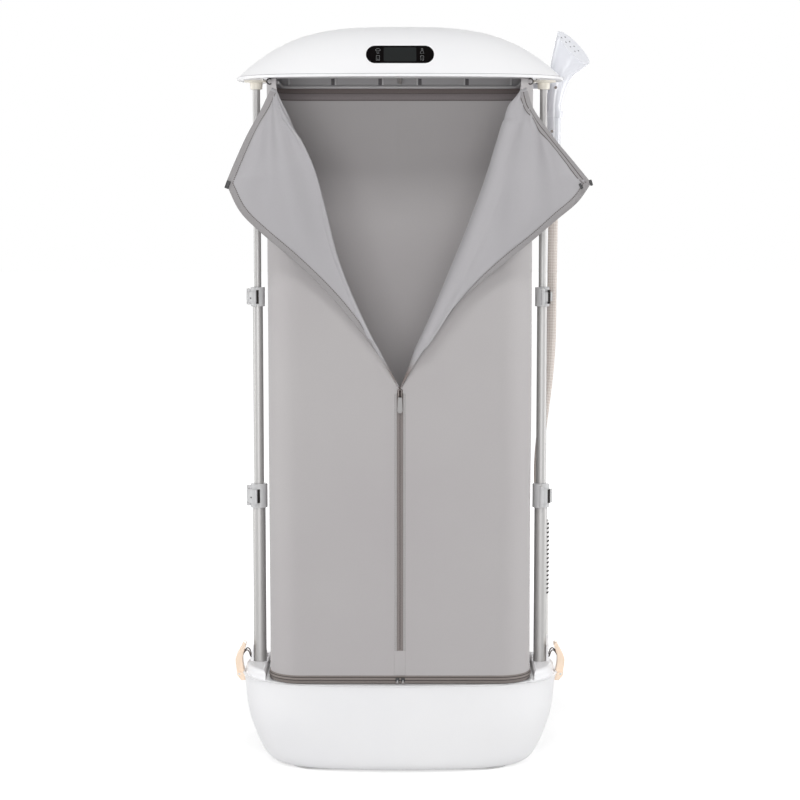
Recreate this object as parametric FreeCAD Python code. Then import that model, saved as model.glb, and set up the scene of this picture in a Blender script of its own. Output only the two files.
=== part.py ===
import FreeCAD, Part
import math
import os

# Portable clothes dryer: base tub, two telescopic poles, domed head, fabric cover and steam wand.
# Millimetres. The origin is on the floor under the middle of the base, the front looks towards -Y.

V = FreeCAD.Vector
UP = V(0, 0, 1)
BACK = V(0, 1, 0)

# Driving dimensions of the whole object
HEIGHT = 1600.0
HALF_WIDTH = 346.0
HALF_DEPTH = 160.0
POWER_X, POWER_Y = 3.2, 2.4
WALL = 3.0
GAP = 0.3
RUNNING_FIT = 0.05

# Levels of the base
PAD_TOP = 3.0
DECK_FOOT = 187.0
TUB_TOP = 197.0
DECK_TOP = 198.0
SHOULDER_TOP = 218.0

# Levels of the head
DOME_RISE = 108.0
RIM = HEIGHT - DOME_RISE
FLOOR_BOTTOM, FLOOR_TOP = RIM - 5, RIM - 1
LIP_BOTTOM, LIP_PROUD = RIM - 5.5, 2.5
TRAY_X, TRAY_Y, TRAY_CORNER = HALF_WIDTH - 78, HALF_DEPTH - 42, 30.0
TRAY_BOTTOM, TRAY_TOP, TRAY_WALL = RIM - 16, RIM + 10, 4.0
SLOT_PLACES = [sx * (TRAY_X - inwards) for sx in (-1, 1) for inwards in (17.0, 120.0, 224.0)]

# Telescopic poles, each stage as radius and bore, foot and head level
POLE_X = HALF_WIDTH - 37
LOWER_R, LOWER_BORE, LOWER_FOOT, LOWER_HEAD = 14.0, 12.8, 125.0, 600.0
MID_R, MID_BORE, MID_FOOT, MID_HEAD = 11.0, 10.0, LOWER_HEAD - 94, 1030.0
UPPER_R, UPPER_BORE, UPPER_FOOT, UPPER_HEAD = 8.0, 6.8, MID_HEAD - 105, RIM + 10
LOWER_CLAMP = (LOWER_HEAD - 39, LOWER_HEAD + 14)
UPPER_CLAMP = (MID_HEAD - 28, MID_HEAD + 14)
GLIDE_LENGTH = 30.0

# Fabric cover with its two turned-back front corners
BAG_X, BAG_Y, BAG_CORNER = HALF_WIDTH - 63, HALF_DEPTH - 22, 75.0
BAG_BOTTOM = DECK_TOP + 0.5
BAG_TOP = FLOOR_BOTTOM - 1.5
CLOTH = 2.0
OPEN_FOOT = 832.0
OPEN_X, OPEN_Z = BAG_X - 13, RIM - 30
ROLL_R = 16.0
ROLL_TURN = math.radians(165.0)
LEFT_TIP_X, RIGHT_TIP_X, TIP_Z = -HALF_WIDTH - 12, HALF_WIDTH + 47, RIM - 225

# Steam wand, hose and hose outlet
WAND_X, WAND_Y, WAND_FOOT = HALF_WIDTH - 7, HALF_DEPTH - 62, RIM - 230
HANDLE_R, HANDLE_TOP = 15.4, RIM - 52
HOSE_R, HOSE_BORE, HOSE_END = 10.5, 10.9, RIM - 162
OUTLET_X, OUTLET_Y, OUTLET_R = HALF_WIDTH - 30, 46.0, 16.0
GUARD_FOOT, GUARD_R = SHOULDER_TOP + 50, 14.5
GUARD_RIBS, GUARD_TOP = GUARD_FOOT + 93, GUARD_FOOT + 257
RIB_COUNT = 17


def cylinder(radius, z0, z1, x=0.0, y=0.0):
    return Part.makeCylinder(radius, z1 - z0, V(x, y, z0))


def tube(radius, bore, z0, z1, x=0.0, y=0.0):
    return cylinder(radius, z0, z1, x, y).cut(cylinder(bore, z0, z1, x, y))


def box(x0, x1, y0, y1, z0, z1):
    return Part.makeBox(x1 - x0, y1 - y0, z1 - z0, V(x0, y0, z0))


def joined(shapes):
    return shapes[0].fuse(shapes[1:]).removeSplitter()


def mirrored(shape):
    return shape.mirror(V(0, 0, 0), V(1, 0, 0))


def both_sides(shape):
    return Part.makeCompound([shape, mirrored(shape)])


def rounded_wire(half_x, half_y, radius, z):
    """Rectangle in plan with round corners, as one wire of lines and arcs."""
    edges = []
    diagonal = radius * math.sqrt(0.5)
    corners = [(1, 1), (-1, 1), (-1, -1), (1, -1)]
    for index, (sx, sy) in enumerate(corners):
        centre = V(sx * (half_x - radius), sy * (half_y - radius), z)
        on_side = centre + V(sx * radius, 0, 0)
        on_front = centre + V(0, sy * radius, 0)
        middle = centre + V(sx * diagonal, sy * diagonal, 0)
        first, last = (on_side, on_front) if index % 2 == 0 else (on_front, on_side)
        edges.append(Part.Arc(first, middle, last).toShape())
        nx, ny = corners[(index + 1) % 4]
        next_centre = V(nx * (half_x - radius), ny * (half_y - radius), z)
        step = V(0, ny * radius, 0) if index % 2 == 0 else V(nx * radius, 0, 0)
        edges.append(Part.LineSegment(last, next_centre + step).toShape())
    return Part.Wire(edges)


def rounded_prism(half_x, half_y, radius, z0, z1):
    return Part.Face(rounded_wire(half_x, half_y, radius, z0)).extrude(V(0, 0, z1 - z0))


def signed_power(value, power):
    return math.copysign(abs(value) ** power, value)


def outline(half_x, half_y, z, count=16):
    """Closed plan outline shared by the base and the head, a squarish oval."""
    points = []
    for index in range(count):
        angle = 2 * math.pi * (index + 0.5) / count
        x = half_x * signed_power(math.cos(angle), 2 / POWER_X)
        y = half_y * signed_power(math.sin(angle), 2 / POWER_Y)
        points.append(V(x, y, z))
    curve = Part.BSplineCurve()
    curve.interpolate(points, PeriodicFlag=True)
    return Part.Wire([curve.toShape()])


def oval_prism(half_x, half_y, z0, z1):
    return Part.Face(outline(half_x, half_y, z0)).extrude(V(0, 0, z1 - z0))


def side_prism(profile, y0, y1):
    """Extrude a closed profile of (x, z) points from y0 to y1."""
    points = [V(x, y0, z) for x, z in profile]
    return Part.Face(Part.makePolygon(points + points[:1])).extrude(V(0, y1 - y0, 0))


def round_top(shape, level, radius):
    """Round every edge that lies wholly in the given level."""
    box_of = [(edge, edge.BoundBox) for edge in shape.Edges]
    flat = [edge for edge, b in box_of if abs(b.ZMin - level) < 0.01 and abs(b.ZMax - level) < 0.01]
    return shape.makeFillet(radius, flat)


def routed_tube(points, radius):
    """Round bar along straight runs joined by tangent arcs."""
    edges = []
    start = points[0]
    for before, corner, after in zip(points, points[1:], points[2:]):
        towards = (before - corner).normalize()
        onwards = (after - corner).normalize()
        reach = 0.45 * min((before - corner).Length, (after - corner).Length)
        half_turn = (math.pi - towards.getAngle(onwards)) / 2
        bend = reach / math.tan(half_turn)
        inward = (towards + onwards).normalize()
        middle = corner + inward * (bend / math.cos(half_turn) - bend)
        entry = corner + towards * reach
        leave = corner + onwards * reach
        edges.append(Part.LineSegment(start, entry).toShape())
        edges.append(Part.Arc(entry, middle, leave).toShape())
        start = leave
        print("bend radius", round(bend, 1))
    edges.append(Part.LineSegment(start, points[-1]).toShape())
    spine = Part.Wire(edges)
    circle = Part.Circle(points[0], points[1] - points[0], radius)
    profile = Part.Wire([circle.toShape()])
    bar = spine.makePipeShell([profile], True, False)
    print("bar volume over section times length", round(bar.Volume / (math.pi * radius ** 2 * spine.Length), 4))
    print("bar length", round(spine.Length, 1))
    return bar


def save(name, shape):
    solids = shape.Solids
    whole = solids[0] if len(solids) == 1 else Part.makeCompound(solids)
    whole.exportStep(os.path.join("parts", name + ".step"))
    print(name, len(solids), whole.isValid(), round(whole.Volume / 1000.0, 1))


# Base

# Level and inset of each section of the tub, from the floor to the rim
TUB_PROFILE = ((PAD_TOP, 78.0), (8.0, 62.0), (28.0, 45.0), (74.0, 25.0), (135.0, 10.0), (TUB_TOP, 0.0))
DEPTH_SHARE = 0.62
PAD_X, PAD_Y, PAD_CORNER = HALF_WIDTH - 106, HALF_DEPTH - 60, 60.0
POST_X, POST_Y, POST_R = HALF_WIDTH - 131, HALF_DEPTH - 68, 8.0
SCREW_R, SCREW_HEAD_R, SCREW_HEAD = 2.0, 4.0, 3.0
INLET_X, INLET_Z, INLET_W, INLET_H = -150.0, 62.0, 30.0, 22.0
INLET_INNER, INLET_OUTER = HALF_DEPTH - 48, HALF_DEPTH - 20.5
VENT_X, VENT_COUNT, VENT_PITCH, VENT_W = 120.0, 11, 14.0, 5.0
VENT_FOOT, VENT_TOP = 80.0, 128.0
SLEEVE_R, SLEEVE_FLOOR = 18.0, 4.0
DECK_INSET, SHOULDER_INSET, SHOULDER_START = 6.0, 9.0, POLE_X - 18
GUSSET_TOP, GUSSET_REACH, GUSSET_HALF = SHOULDER_TOP + 36, 23.0, 5.0
STEM_R = 10.0
CAP_X, CAP_NECK = 36 - HALF_WIDTH, 12.0


def tub_body(thinner):
    """Solid tub, smaller all round and higher by the given amount."""
    wires = []
    for z, inset in TUB_PROFILE:
        half_x = HALF_WIDTH - inset - thinner
        half_y = HALF_DEPTH - DEPTH_SHARE * inset - thinner
        wires.append(outline(half_x, half_y, z + thinner))
    return Part.makeLoft(wires, True, False)


def screw_places():
    return [(sx * POST_X, sy * POST_Y) for sx in (-1, 1) for sy in (-1, 1)]


def base_tub():
    inside = tub_body(1.0)
    pieces = [tub_body(0.0).cut(tub_body(WALL))]
    for x, y in screw_places():
        pieces.append(tube(POST_R, SCREW_R, PAD_TOP + 2, DECK_FOOT, x, y).common(inside))
    tub = joined(pieces)
    half_w, half_h = INLET_W / 2, INLET_H / 2
    rear = HALF_DEPTH + 10
    cutters = [box(INLET_X - half_w, INLET_X + half_w, INLET_INNER, rear, INLET_Z - half_h, INLET_Z + half_h)]
    for index in range(VENT_COUNT):
        x = VENT_X + (index - VENT_COUNT // 2) * VENT_PITCH
        cutters.append(box(x - VENT_W / 2, x + VENT_W / 2, INLET_INNER, rear, VENT_FOOT, VENT_TOP))
    return tub.cut(Part.makeCompound(cutters))


def floor_pad():
    return rounded_prism(PAD_X, PAD_Y, PAD_CORNER, 0, PAD_TOP)


def shoulder():
    """Raised right end of the deck: the pole stands in its sleeve, a gusset props the tube."""
    reach = HALF_WIDTH + 10
    end = oval_prism(HALF_WIDTH - SHOULDER_INSET, HALF_DEPTH - SHOULDER_INSET, DECK_TOP - 3, SHOULDER_TOP)
    end = end.common(box(SHOULDER_START, reach, -reach, reach, 0, HEIGHT))
    end = round_top(end, SHOULDER_TOP, 8.0)
    sleeve = cylinder(SLEEVE_R, LOWER_FOOT - SLEEVE_FLOOR, SHOULDER_TOP, POLE_X)
    tube_side = POLE_X + LOWER_R + GAP
    corner = (tube_side, SHOULDER_TOP - 4)
    gusset = side_prism((corner, (POLE_X + GUSSET_REACH, corner[1]), (tube_side, GUSSET_TOP)),
                        -GUSSET_HALF, GUSSET_HALF)
    return joined([end, sleeve, gusset])


def base_deck():
    plate = oval_prism(HALF_WIDTH - DECK_INSET, HALF_DEPTH - DECK_INSET, DECK_FOOT, DECK_TOP)
    plate = round_top(plate, DECK_TOP, 2.0)
    pocket = oval_prism(HALF_WIDTH - 2 * DECK_INSET, HALF_DEPTH - 2 * DECK_INSET, DECK_FOOT, DECK_TOP - WALL - 1)
    raised = shoulder()
    deck = joined([plate.cut(pocket), raised, mirrored(raised)])
    cutters = [cylinder(LOWER_R, LOWER_FOOT, SHOULDER_TOP, sx * POLE_X) for sx in (-1, 1)]
    cutters.append(cylinder(STEM_R, DECK_FOOT, SHOULDER_TOP, OUTLET_X, OUTLET_Y))
    cutters.append(cylinder(CAP_NECK + 2, DECK_FOOT, SHOULDER_TOP, CAP_X, OUTLET_Y))
    for x, y in screw_places():
        cutters.append(cylinder(SCREW_R, DECK_FOOT, DECK_TOP, x, y))
        cutters.append(cylinder(SCREW_HEAD_R, DECK_TOP - SCREW_HEAD, DECK_TOP, x, y))
    bosses = [tube(POST_R, SCREW_R, DECK_FOOT, DECK_TOP - SCREW_HEAD, x, y) for x, y in screw_places()]
    return joined([deck.cut(Part.makeCompound(cutters))] + bosses)


def deck_screws():
    screws = []
    for x, y in screw_places():
        head = cylinder(SCREW_HEAD_R, DECK_TOP - SCREW_HEAD, DECK_TOP - 0.4, x, y)
        slot = box(x - 3, x + 3, y - 0.5, y + 0.5, DECK_TOP - 1.6, DECK_TOP)
        shank = cylinder(SCREW_R, DECK_FOOT - 20, DECK_TOP - SCREW_HEAD, x, y)
        screws.append(joined([head.cut(slot), shank]))
    return Part.makeCompound(screws)


TANK = (96 - HALF_WIDTH, 236 - HALF_WIDTH, -80.0, 80.0, 40.0, DECK_FOOT - 9)
FILLER_FOOT, FILLER_TOP = TANK[5] - 22, TANK[5] - 3


def water_tank():
    body = box(*TANK)
    body = body.makeFillet(14.0, body.Edges)
    hollow = box(TANK[0] + WALL, TANK[1] - WALL, TANK[2] + WALL, TANK[3] - WALL, TANK[4] + WALL, TANK[5] - WALL)
    hollow = hollow.makeFillet(11.0, hollow.Edges)
    duct = box(CAP_X, TANK[0] + 20, OUTLET_Y - 12, OUTLET_Y + 12, FILLER_FOOT, FILLER_TOP)
    duct_bore = box(CAP_X + 1, TANK[0] + 20, OUTLET_Y - 9, OUTLET_Y + 9, FILLER_FOOT + WALL, FILLER_TOP - WALL)
    neck = cylinder(CAP_NECK + 2, FILLER_FOOT, SHOULDER_TOP, CAP_X, OUTLET_Y)
    neck_bore = cylinder(CAP_NECK, FILLER_FOOT + WALL, SHOULDER_TOP, CAP_X, OUTLET_Y)
    return joined([body, duct, neck]).cut(Part.makeCompound([hollow, duct_bore, neck_bore]))


def tank_cap():
    foot = SHOULDER_TOP + GAP
    disc = round_top(cylinder(OUTLET_R, foot, foot + 7), foot + 7, 2.0)
    grip = box(-OUTLET_R + 3, OUTLET_R - 3, -2.5, 2.5, foot + 6, foot + 14)
    grip = grip.makeFillet(2.0, grip.Edges)
    plug = cylinder(CAP_NECK - RUNNING_FIT, foot - 16, foot)
    cap = joined([disc, grip, plug])
    notches = []
    for index in range(12):
        angle = 2 * math.pi * index / 12
        x, y = (OUTLET_R + 0.8) * math.cos(angle), (OUTLET_R + 0.8) * math.sin(angle)
        notches.append(cylinder(2.0, foot, foot + 4.5, x, y))
    cap = cap.cut(Part.makeCompound(notches))
    cap.translate(V(CAP_X, OUTLET_Y, 0))
    return cap


BOILER_X, BOILER_R = HALF_WIDTH - 156, 52.0


def steam_boiler():
    can = cylinder(BOILER_R, 24, 126, BOILER_X)
    can = can.makeFillet(12.0, [edge for edge in can.Edges if edge.Closed])
    band = cylinder(BOILER_R + 3, 66, 78, BOILER_X)
    nozzle = cylinder(STEM_R, 120, 140, BOILER_X)
    foot = box(BOILER_X - 40, BOILER_X + 40, -50, 50, PAD_TOP + WALL, 27)
    return joined([can, band, nozzle, foot])


def steam_pipe():
    level = 166.0
    points = [V(BOILER_X, 0, 140), V(BOILER_X, 0, level), V(BOILER_X + 38, OUTLET_Y, level),
              V(OUTLET_X, OUTLET_Y, level), V(OUTLET_X, OUTLET_Y, DECK_FOOT)]
    return routed_tube(points, 5.0)


def water_pump():
    body = Part.makeCylinder(24, 70, V(20, -30, 46), V(1, 0, 0))
    head = box(86, 116, -50, -10, 26, 66)
    foot = box(24, 84, -52, -8, PAD_TOP + WALL, 26)
    inlet = Part.makeCylinder(5, 30, V(101, -50, 46), V(0, -1, 0))
    outlet = cylinder(5, 66, 86, 101, -30)
    return joined([body, head, foot, inlet, outlet])


def relay_board():
    board = box(-90, 40, 66, 68, 30, 120)
    parts = [box(-80 + 40 * i, -52 + 40 * i, 40, 66, 50, 80) for i in range(3)]
    parts += [Part.makeCylinder(7, 24, V(-70 + 30 * i, 42, 100), BACK) for i in range(4)]
    legs = [box(x - 5, x + 5, 62, 68, PAD_TOP + WALL, 32) for x in (-78, 28)]
    return joined([board] + parts + legs)


def mains_inlet():
    half_w, half_h = INLET_W / 2, INLET_H / 2
    block = box(INLET_X - half_w, INLET_X + half_w, INLET_INNER, INLET_OUTER, INLET_Z - half_h, INLET_Z + half_h)
    hollow = box(INLET_X - half_w + 3, INLET_X + half_w - 3, INLET_OUTER - 18, INLET_OUTER,
                 INLET_Z - half_h + 3, INLET_Z + half_h - 3)
    pins = [Part.makeCylinder(1.2, 15, V(INLET_X + dx, INLET_OUTER - 19, INLET_Z), BACK) for dx in (-7.5, 7.5)]
    return joined([block.cut(hollow)] + pins)


def hose_socket():
    body = cylinder(OUTLET_R, SHOULDER_TOP, GUARD_FOOT, OUTLET_X, OUTLET_Y)
    body = round_top(body, GUARD_FOOT, 1.5)
    stem = cylinder(STEM_R, DECK_FOOT, SHOULDER_TOP, OUTLET_X, OUTLET_Y)
    groove = tube(OUTLET_R + 1, OUTLET_R - 1.2, SHOULDER_TOP + 12, SHOULDER_TOP + 15, OUTLET_X, OUTLET_Y)
    bore = cylinder(5.0, DECK_FOOT, GUARD_FOOT, OUTLET_X, OUTLET_Y)
    return joined([body, stem]).cut(groove).cut(bore)


def bend_guard():
    """Smooth cuff below, a stack of flexing ribs above, the bore flared at its mouth."""
    core = cylinder(GUARD_R - 1.2, GUARD_FOOT, GUARD_TOP)
    cuff = round_top(cylinder(GUARD_R, GUARD_FOOT, GUARD_RIBS), GUARD_RIBS, 1.0)
    pitch = (GUARD_TOP - GUARD_RIBS) / RIB_COUNT
    ribs = []
    for index in range(RIB_COUNT):
        ribs.append(cylinder(GUARD_R, GUARD_RIBS + (index + 0.42) * pitch, GUARD_RIBS + (index + 1) * pitch))
    guard = joined([core, cuff] + ribs)
    flare = Part.makeCone(HOSE_BORE, GUARD_R - 2.2, 60, V(0, 0, GUARD_TOP - 60))
    guard = guard.cut(cylinder(HOSE_BORE, GUARD_FOOT + 8, GUARD_TOP)).cut(flare)
    guard = guard.cut(cylinder(5.0, GUARD_FOOT, GUARD_FOOT + 8))
    guard.translate(V(OUTLET_X, OUTLET_Y, 0))
    return guard


def hose_route():
    hanging = HOSE_END - GUARD_TOP
    return [V(WAND_X, WAND_Y, HOSE_END), V(WAND_X, WAND_Y, HOSE_END - 110),
            V(WAND_X - 2, WAND_Y - 6, GUARD_TOP + 0.652 * hanging),
            V(WAND_X - 3, WAND_Y - 14, GUARD_TOP + 0.441 * hanging),
            V(OUTLET_X - 5, OUTLET_Y + 22, GUARD_TOP + 0.217 * hanging),
            V(OUTLET_X - 10, OUTLET_Y + 10, GUARD_TOP + 0.106 * hanging),
            V(OUTLET_X, OUTLET_Y, GUARD_TOP + 5), V(OUTLET_X, OUTLET_Y, GUARD_TOP - 85)]


# Latches at the two ends of the base, drawn for the right end

LATCH_X, LATCH_Z, LATCH_HALF = HALF_WIDTH + 8, TUB_TOP - 5, 15.0
LATCH_PIN_R, LATCH_EYE_R = 2.5, 6.2
EAR_INNER, EAR_OUTER = 16.0, 19.0


def latch_lever():
    inner_side = ((-5.5, 4), (-5.6, 14), (-4.6, 27), (-2.6, 44), (-4.6, 57))
    hook = ((-9.2, 64), (-9.4, 70), (-5, 74), (2.3, 73))
    outer_side = ((6.5, 60), (10.2, 45), (13.2, 29), (11, 15))
    finger_lip = ((14.2, 11), (13, 6), (7.5, 3.5), (6, 2))
    profile = [(LATCH_X + x, LATCH_Z + z) for x, z in inner_side + hook + outer_side + finger_lip]
    blade = side_prism(profile, -LATCH_HALF, LATCH_HALF)
    blade = blade.makeFillet(2.0, [e for e in blade.Edges if abs(e.BoundBox.YLength - 2 * LATCH_HALF) < 0.01])
    eye = Part.makeCylinder(LATCH_EYE_R, 2 * LATCH_HALF, V(LATCH_X, -LATCH_HALF, LATCH_Z), BACK)
    hole = Part.makeCylinder(LATCH_PIN_R + RUNNING_FIT, 2 * LATCH_HALF, V(LATCH_X, -LATCH_HALF, LATCH_Z), BACK)
    window = box(LATCH_X - 20, LATCH_X + 20, -7, 7, LATCH_Z + 28, LATCH_Z + 46)
    return joined([blade, eye]).cut(hole).cut(window)


def latch_bracket():
    back, foot = LATCH_X - 13, LATCH_Z - 14
    profile = ((back, foot), (LATCH_X - 4, foot), (LATCH_X + 5, LATCH_Z - 3), (LATCH_X + 5, LATCH_Z + 4),
               (back, LATCH_Z + 4))
    ears = [side_prism(profile, y0, y1) for y0, y1 in ((-EAR_OUTER, -EAR_INNER), (EAR_INNER, EAR_OUTER))]
    strap = box(back, LATCH_X - 4.5, -EAR_OUTER, EAR_OUTER, foot, foot + 5)
    pin_hole = Part.makeCylinder(LATCH_PIN_R, 2 * EAR_OUTER, V(LATCH_X, -EAR_OUTER, LATCH_Z), BACK)
    return joined(ears + [strap]).cut(pin_hole)


def latch_brackets(deck):
    """Both brackets, each trimmed to the curve of the end it sits on."""
    tub = tub_body(0.0)
    return Part.makeCompound([raw.cut(tub).cut(deck) for raw in (latch_bracket(), mirrored(latch_bracket()))])


def latch_pin():
    return Part.makeCylinder(LATCH_PIN_R, 2 * EAR_OUTER, V(LATCH_X, -EAR_OUTER, LATCH_Z), BACK)


# Pole stages and their flip-lever clamps, each clamp drawn about the axis of its pole

COLLAR_WALL, PIN_OUT, PIN_R, EYE_R = 4.5, 5.0, 2.0, 4.2
EAR_FROM_END, EAR_THICK = 4.0, 6.5
LEVER_START, LEVER_END = 184.0, 262.0


def placed(shape, side):
    """Move a clamp piece to its pole; the right-hand one is the same piece a quarter turn on."""
    copy = shape.copy()
    if side > 0:
        copy.rotate(V(0, 0, 0), UP, 90)
    copy.translate(V(side * POLE_X, 0, 0))
    return copy


def sector(radius, bore, z0, z1, start, end):
    ring = Part.makeCylinder(radius, z1 - z0, V(0, 0, z0), UP, end - start)
    ring = ring.cut(cylinder(bore, z0, z1))
    ring.rotate(V(0, 0, 0), UP, start)
    return ring


def clamp_collar(ends, pole_r, inner_r, split):
    z0, z1 = ends
    radius = pole_r + COLLAR_WALL
    body = cylinder(radius, z0, z1)
    body = body.makeFillet(1.5, [edge for edge in body.Edges if edge.Closed])
    pin_x = -(radius + PIN_OUT)
    ears = []
    for ear_foot in (z0 + EAR_FROM_END, z1 - EAR_FROM_END - EAR_THICK):
        ears.append(box(pin_x, -radius + 2, -EYE_R, EYE_R, ear_foot, ear_foot + EAR_THICK))
        ears.append(cylinder(EYE_R, ear_foot, ear_foot + EAR_THICK, pin_x))
    collar = joined([body] + ears)
    slit = box(inner_r, radius + 2, -1.8, 1.8, z0, split - 2)
    slit.rotate(V(0, 0, 0), UP, LEVER_END + 9)
    cutters = [cylinder(pole_r, z0, split), cylinder(inner_r + RUNNING_FIT, split, z1), slit,
               cylinder(PIN_R, z0, z1, pin_x)]
    return collar.cut(Part.makeCompound(cutters))


def clamp_lever(ends, pole_r):
    reveal = EAR_FROM_END + EAR_THICK + 0.4
    z0, z1 = ends[0] + reveal, ends[1] - reveal
    radius = pole_r + COLLAR_WALL
    pin_x = -(radius + PIN_OUT)
    shell = sector(radius + PIN_OUT, radius + 0.7, z0, z1, LEVER_START, LEVER_END)
    eye = cylinder(EYE_R, z0, z1, pin_x)
    tip_angle = math.radians(LEVER_END - 5)
    tip_r = radius + PIN_OUT - 1
    tip = cylinder(2.6, z0, z1, tip_r * math.cos(tip_angle), tip_r * math.sin(tip_angle))
    clear = cylinder(radius + 0.7, z0, z1)
    lever = joined([shell, eye, tip]).cut(clear)
    return lever.cut(cylinder(PIN_R + RUNNING_FIT, z0, z1, pin_x))


def clamp_pin(ends, pole_r):
    pin_x = -(pole_r + COLLAR_WALL + PIN_OUT)
    return cylinder(PIN_R, ends[0] + EAR_FROM_END - 1, ends[1] - EAR_FROM_END + 1, pin_x)


def glide(pole_r, guide_bore, foot):
    return tube(guide_bore - RUNNING_FIT, pole_r, foot, foot + GLIDE_LENGTH)


# Head

BLOWER_X, BLOWER_R = 178 - HALF_WIDTH, 62.0
SCROLL_FOOT, SCROLL_TOP = TRAY_TOP + 20, TRAY_TOP + 56
DUCT_Y0, DUCT_Y1 = 8.0, 62.0
HEATER = (-60.0, 60.0, -46.0, 62.0)
OUTLET_SLOTS = 9
HEAD_SCREW_X, HEAD_SCREW_Y = TRAY_X + 24, 60.0
DISPLAY_HALF, DISPLAY_Z0, DISPLAY_Z1 = 71.0, RIM + 22.5, RIM + 61
SCREEN_HALF, SCREEN_Z0, SCREEN_Z1 = 34.0, DISPLAY_Z0 + 4, DISPLAY_Z1 - 4
MOTOR_R, SHAFT_R = 22.0, 3.0
BOARD_Y = 62 - HALF_DEPTH
SOCKET_R, SOCKET_FOOT = 25.0, RIM - 24
RAIL_LEVEL, RAIL_REACH, RAIL_R = RIM - 4, TRAY_Y - 22, 4.0
RAIL_NOTCHES, NOTCH_PITCH = 5, 30.0
REAR_VENTS, REAR_VENT_PITCH = 13, 11.0


def dome_height(x, y, bigger):
    drop = abs(x / (HALF_WIDTH + bigger)) ** POWER_X + abs(y / (HALF_DEPTH + bigger)) ** POWER_Y
    return RIM + (DOME_RISE + bigger) * (1 - drop)


def dome_body(bigger):
    """Everything under the crowned top and above the rim level."""
    across, along = 24, 14
    reach_x, reach_y = HALF_WIDTH + 12, HALF_DEPTH + 10
    grid = []
    for i in range(across + 1):
        x = reach_x * (2 * i / across - 1)
        ys = [reach_y * (2 * j / along - 1) for j in range(along + 1)]
        grid.append([V(x, y, dome_height(x, y, bigger)) for y in ys])
    surface = Part.BSplineSurface()
    surface.interpolate(grid)
    below = surface.toShape().extrude(V(0, 0, -DOME_RISE * 3))
    return below.common(box(-reach_x, reach_x, -reach_y, reach_y, RIM, HEIGHT + 10))


def pill_prism(half_x, z0, z1, y0, y1):
    """Pill-shaped bar that runs front to back."""
    radius = (z1 - z0) / 2
    middle = (z0 + z1) / 2
    bar = box(-half_x + radius, half_x - radius, y0, y1, z0, z1)
    ends = [Part.makeCylinder(radius, y1 - y0, V(sx * (half_x - radius), y0, middle), BACK) for sx in (-1, 1)]
    return joined([bar] + ends)


def lens_bar():
    return pill_prism(DISPLAY_HALF, DISPLAY_Z0, DISPLAY_Z1, -HALF_DEPTH - 10, -60)


def screen_bar():
    bar = box(-SCREEN_HALF, SCREEN_HALF, -HALF_DEPTH - 10, -60, SCREEN_Z0, SCREEN_Z1)
    return bar.makeFillet(3.0, [e for e in bar.Edges if e.BoundBox.YLength > 50])


def head_dome(outer, inner):
    shell = outer.cut(inner)
    bosses = []
    for sx in (-1, 1):
        for sy in (-1, 1):
            boss = tube(6, SCREW_R, RIM, HEIGHT, sx * HEAD_SCREW_X, sy * HEAD_SCREW_Y)
            bosses.append(boss.common(dome_body(-1.0)))
    shell = joined([shell] + bosses).cut(lens_bar())
    vents = []
    for index in range(REAR_VENTS):
        x = BLOWER_X + 20 + (index - REAR_VENTS // 2) * REAR_VENT_PITCH
        vents.append(box(x - 2, x + 2, HALF_DEPTH - 70, HALF_DEPTH + 10, SCROLL_FOOT, SCROLL_FOOT + 28))
    return shell.cut(Part.makeCompound(vents))


def display_lens(outer, inner):
    return lens_bar().common(outer).cut(inner).cut(screen_bar())


def display_screen(outer, inner):
    return screen_bar().common(outer).cut(inner)


def head_floor():
    plate = oval_prism(HALF_WIDTH - 1.5, HALF_DEPTH - 1.5, FLOOR_BOTTOM, FLOOR_TOP)
    lip = oval_prism(HALF_WIDTH + LIP_PROUD, HALF_DEPTH + LIP_PROUD, LIP_BOTTOM, RIM)
    lip = lip.cut(oval_prism(HALF_WIDTH - WALL, HALF_DEPTH - WALL, LIP_BOTTOM, RIM))
    bosses = [cylinder(14, FLOOR_TOP, UPPER_HEAD - 2, sx * POLE_X) for sx in (-1, 1)]
    floor = joined([plate, lip] + bosses)
    cutters = [cylinder(UPPER_R, FLOOR_BOTTOM, UPPER_HEAD, sx * POLE_X) for sx in (-1, 1)]
    cutters.append(rounded_prism(TRAY_X, TRAY_Y, TRAY_CORNER, FLOOR_BOTTOM, FLOOR_TOP))
    for sx in (-1, 1):
        for sy in (-1, 1):
            cutters.append(cylinder(SCREW_R, FLOOR_BOTTOM, RIM, sx * HEAD_SCREW_X, sy * HEAD_SCREW_Y))
    return floor.cut(Part.makeCompound(cutters))


def head_screws():
    screws = []
    for sx in (-1, 1):
        for sy in (-1, 1):
            x, y = sx * HEAD_SCREW_X, sy * HEAD_SCREW_Y
            shank = cylinder(SCREW_R, FLOOR_BOTTOM, RIM + 12, x, y)
            screws.append(joined([shank, cylinder(SCREW_HEAD_R, FLOOR_BOTTOM - 2, FLOOR_BOTTOM, x, y)]))
    return Part.makeCompound(screws)


def tray_ring(outer, inner, z0, z1):
    """Ring with the plan of the tray, its two edges set out or in from the tray's own."""
    ring = rounded_prism(TRAY_X + outer, TRAY_Y + outer, TRAY_CORNER + outer, z0, z1)
    return ring.cut(rounded_prism(TRAY_X + inner, TRAY_Y + inner, TRAY_CORNER + inner, z0, z1))


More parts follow.
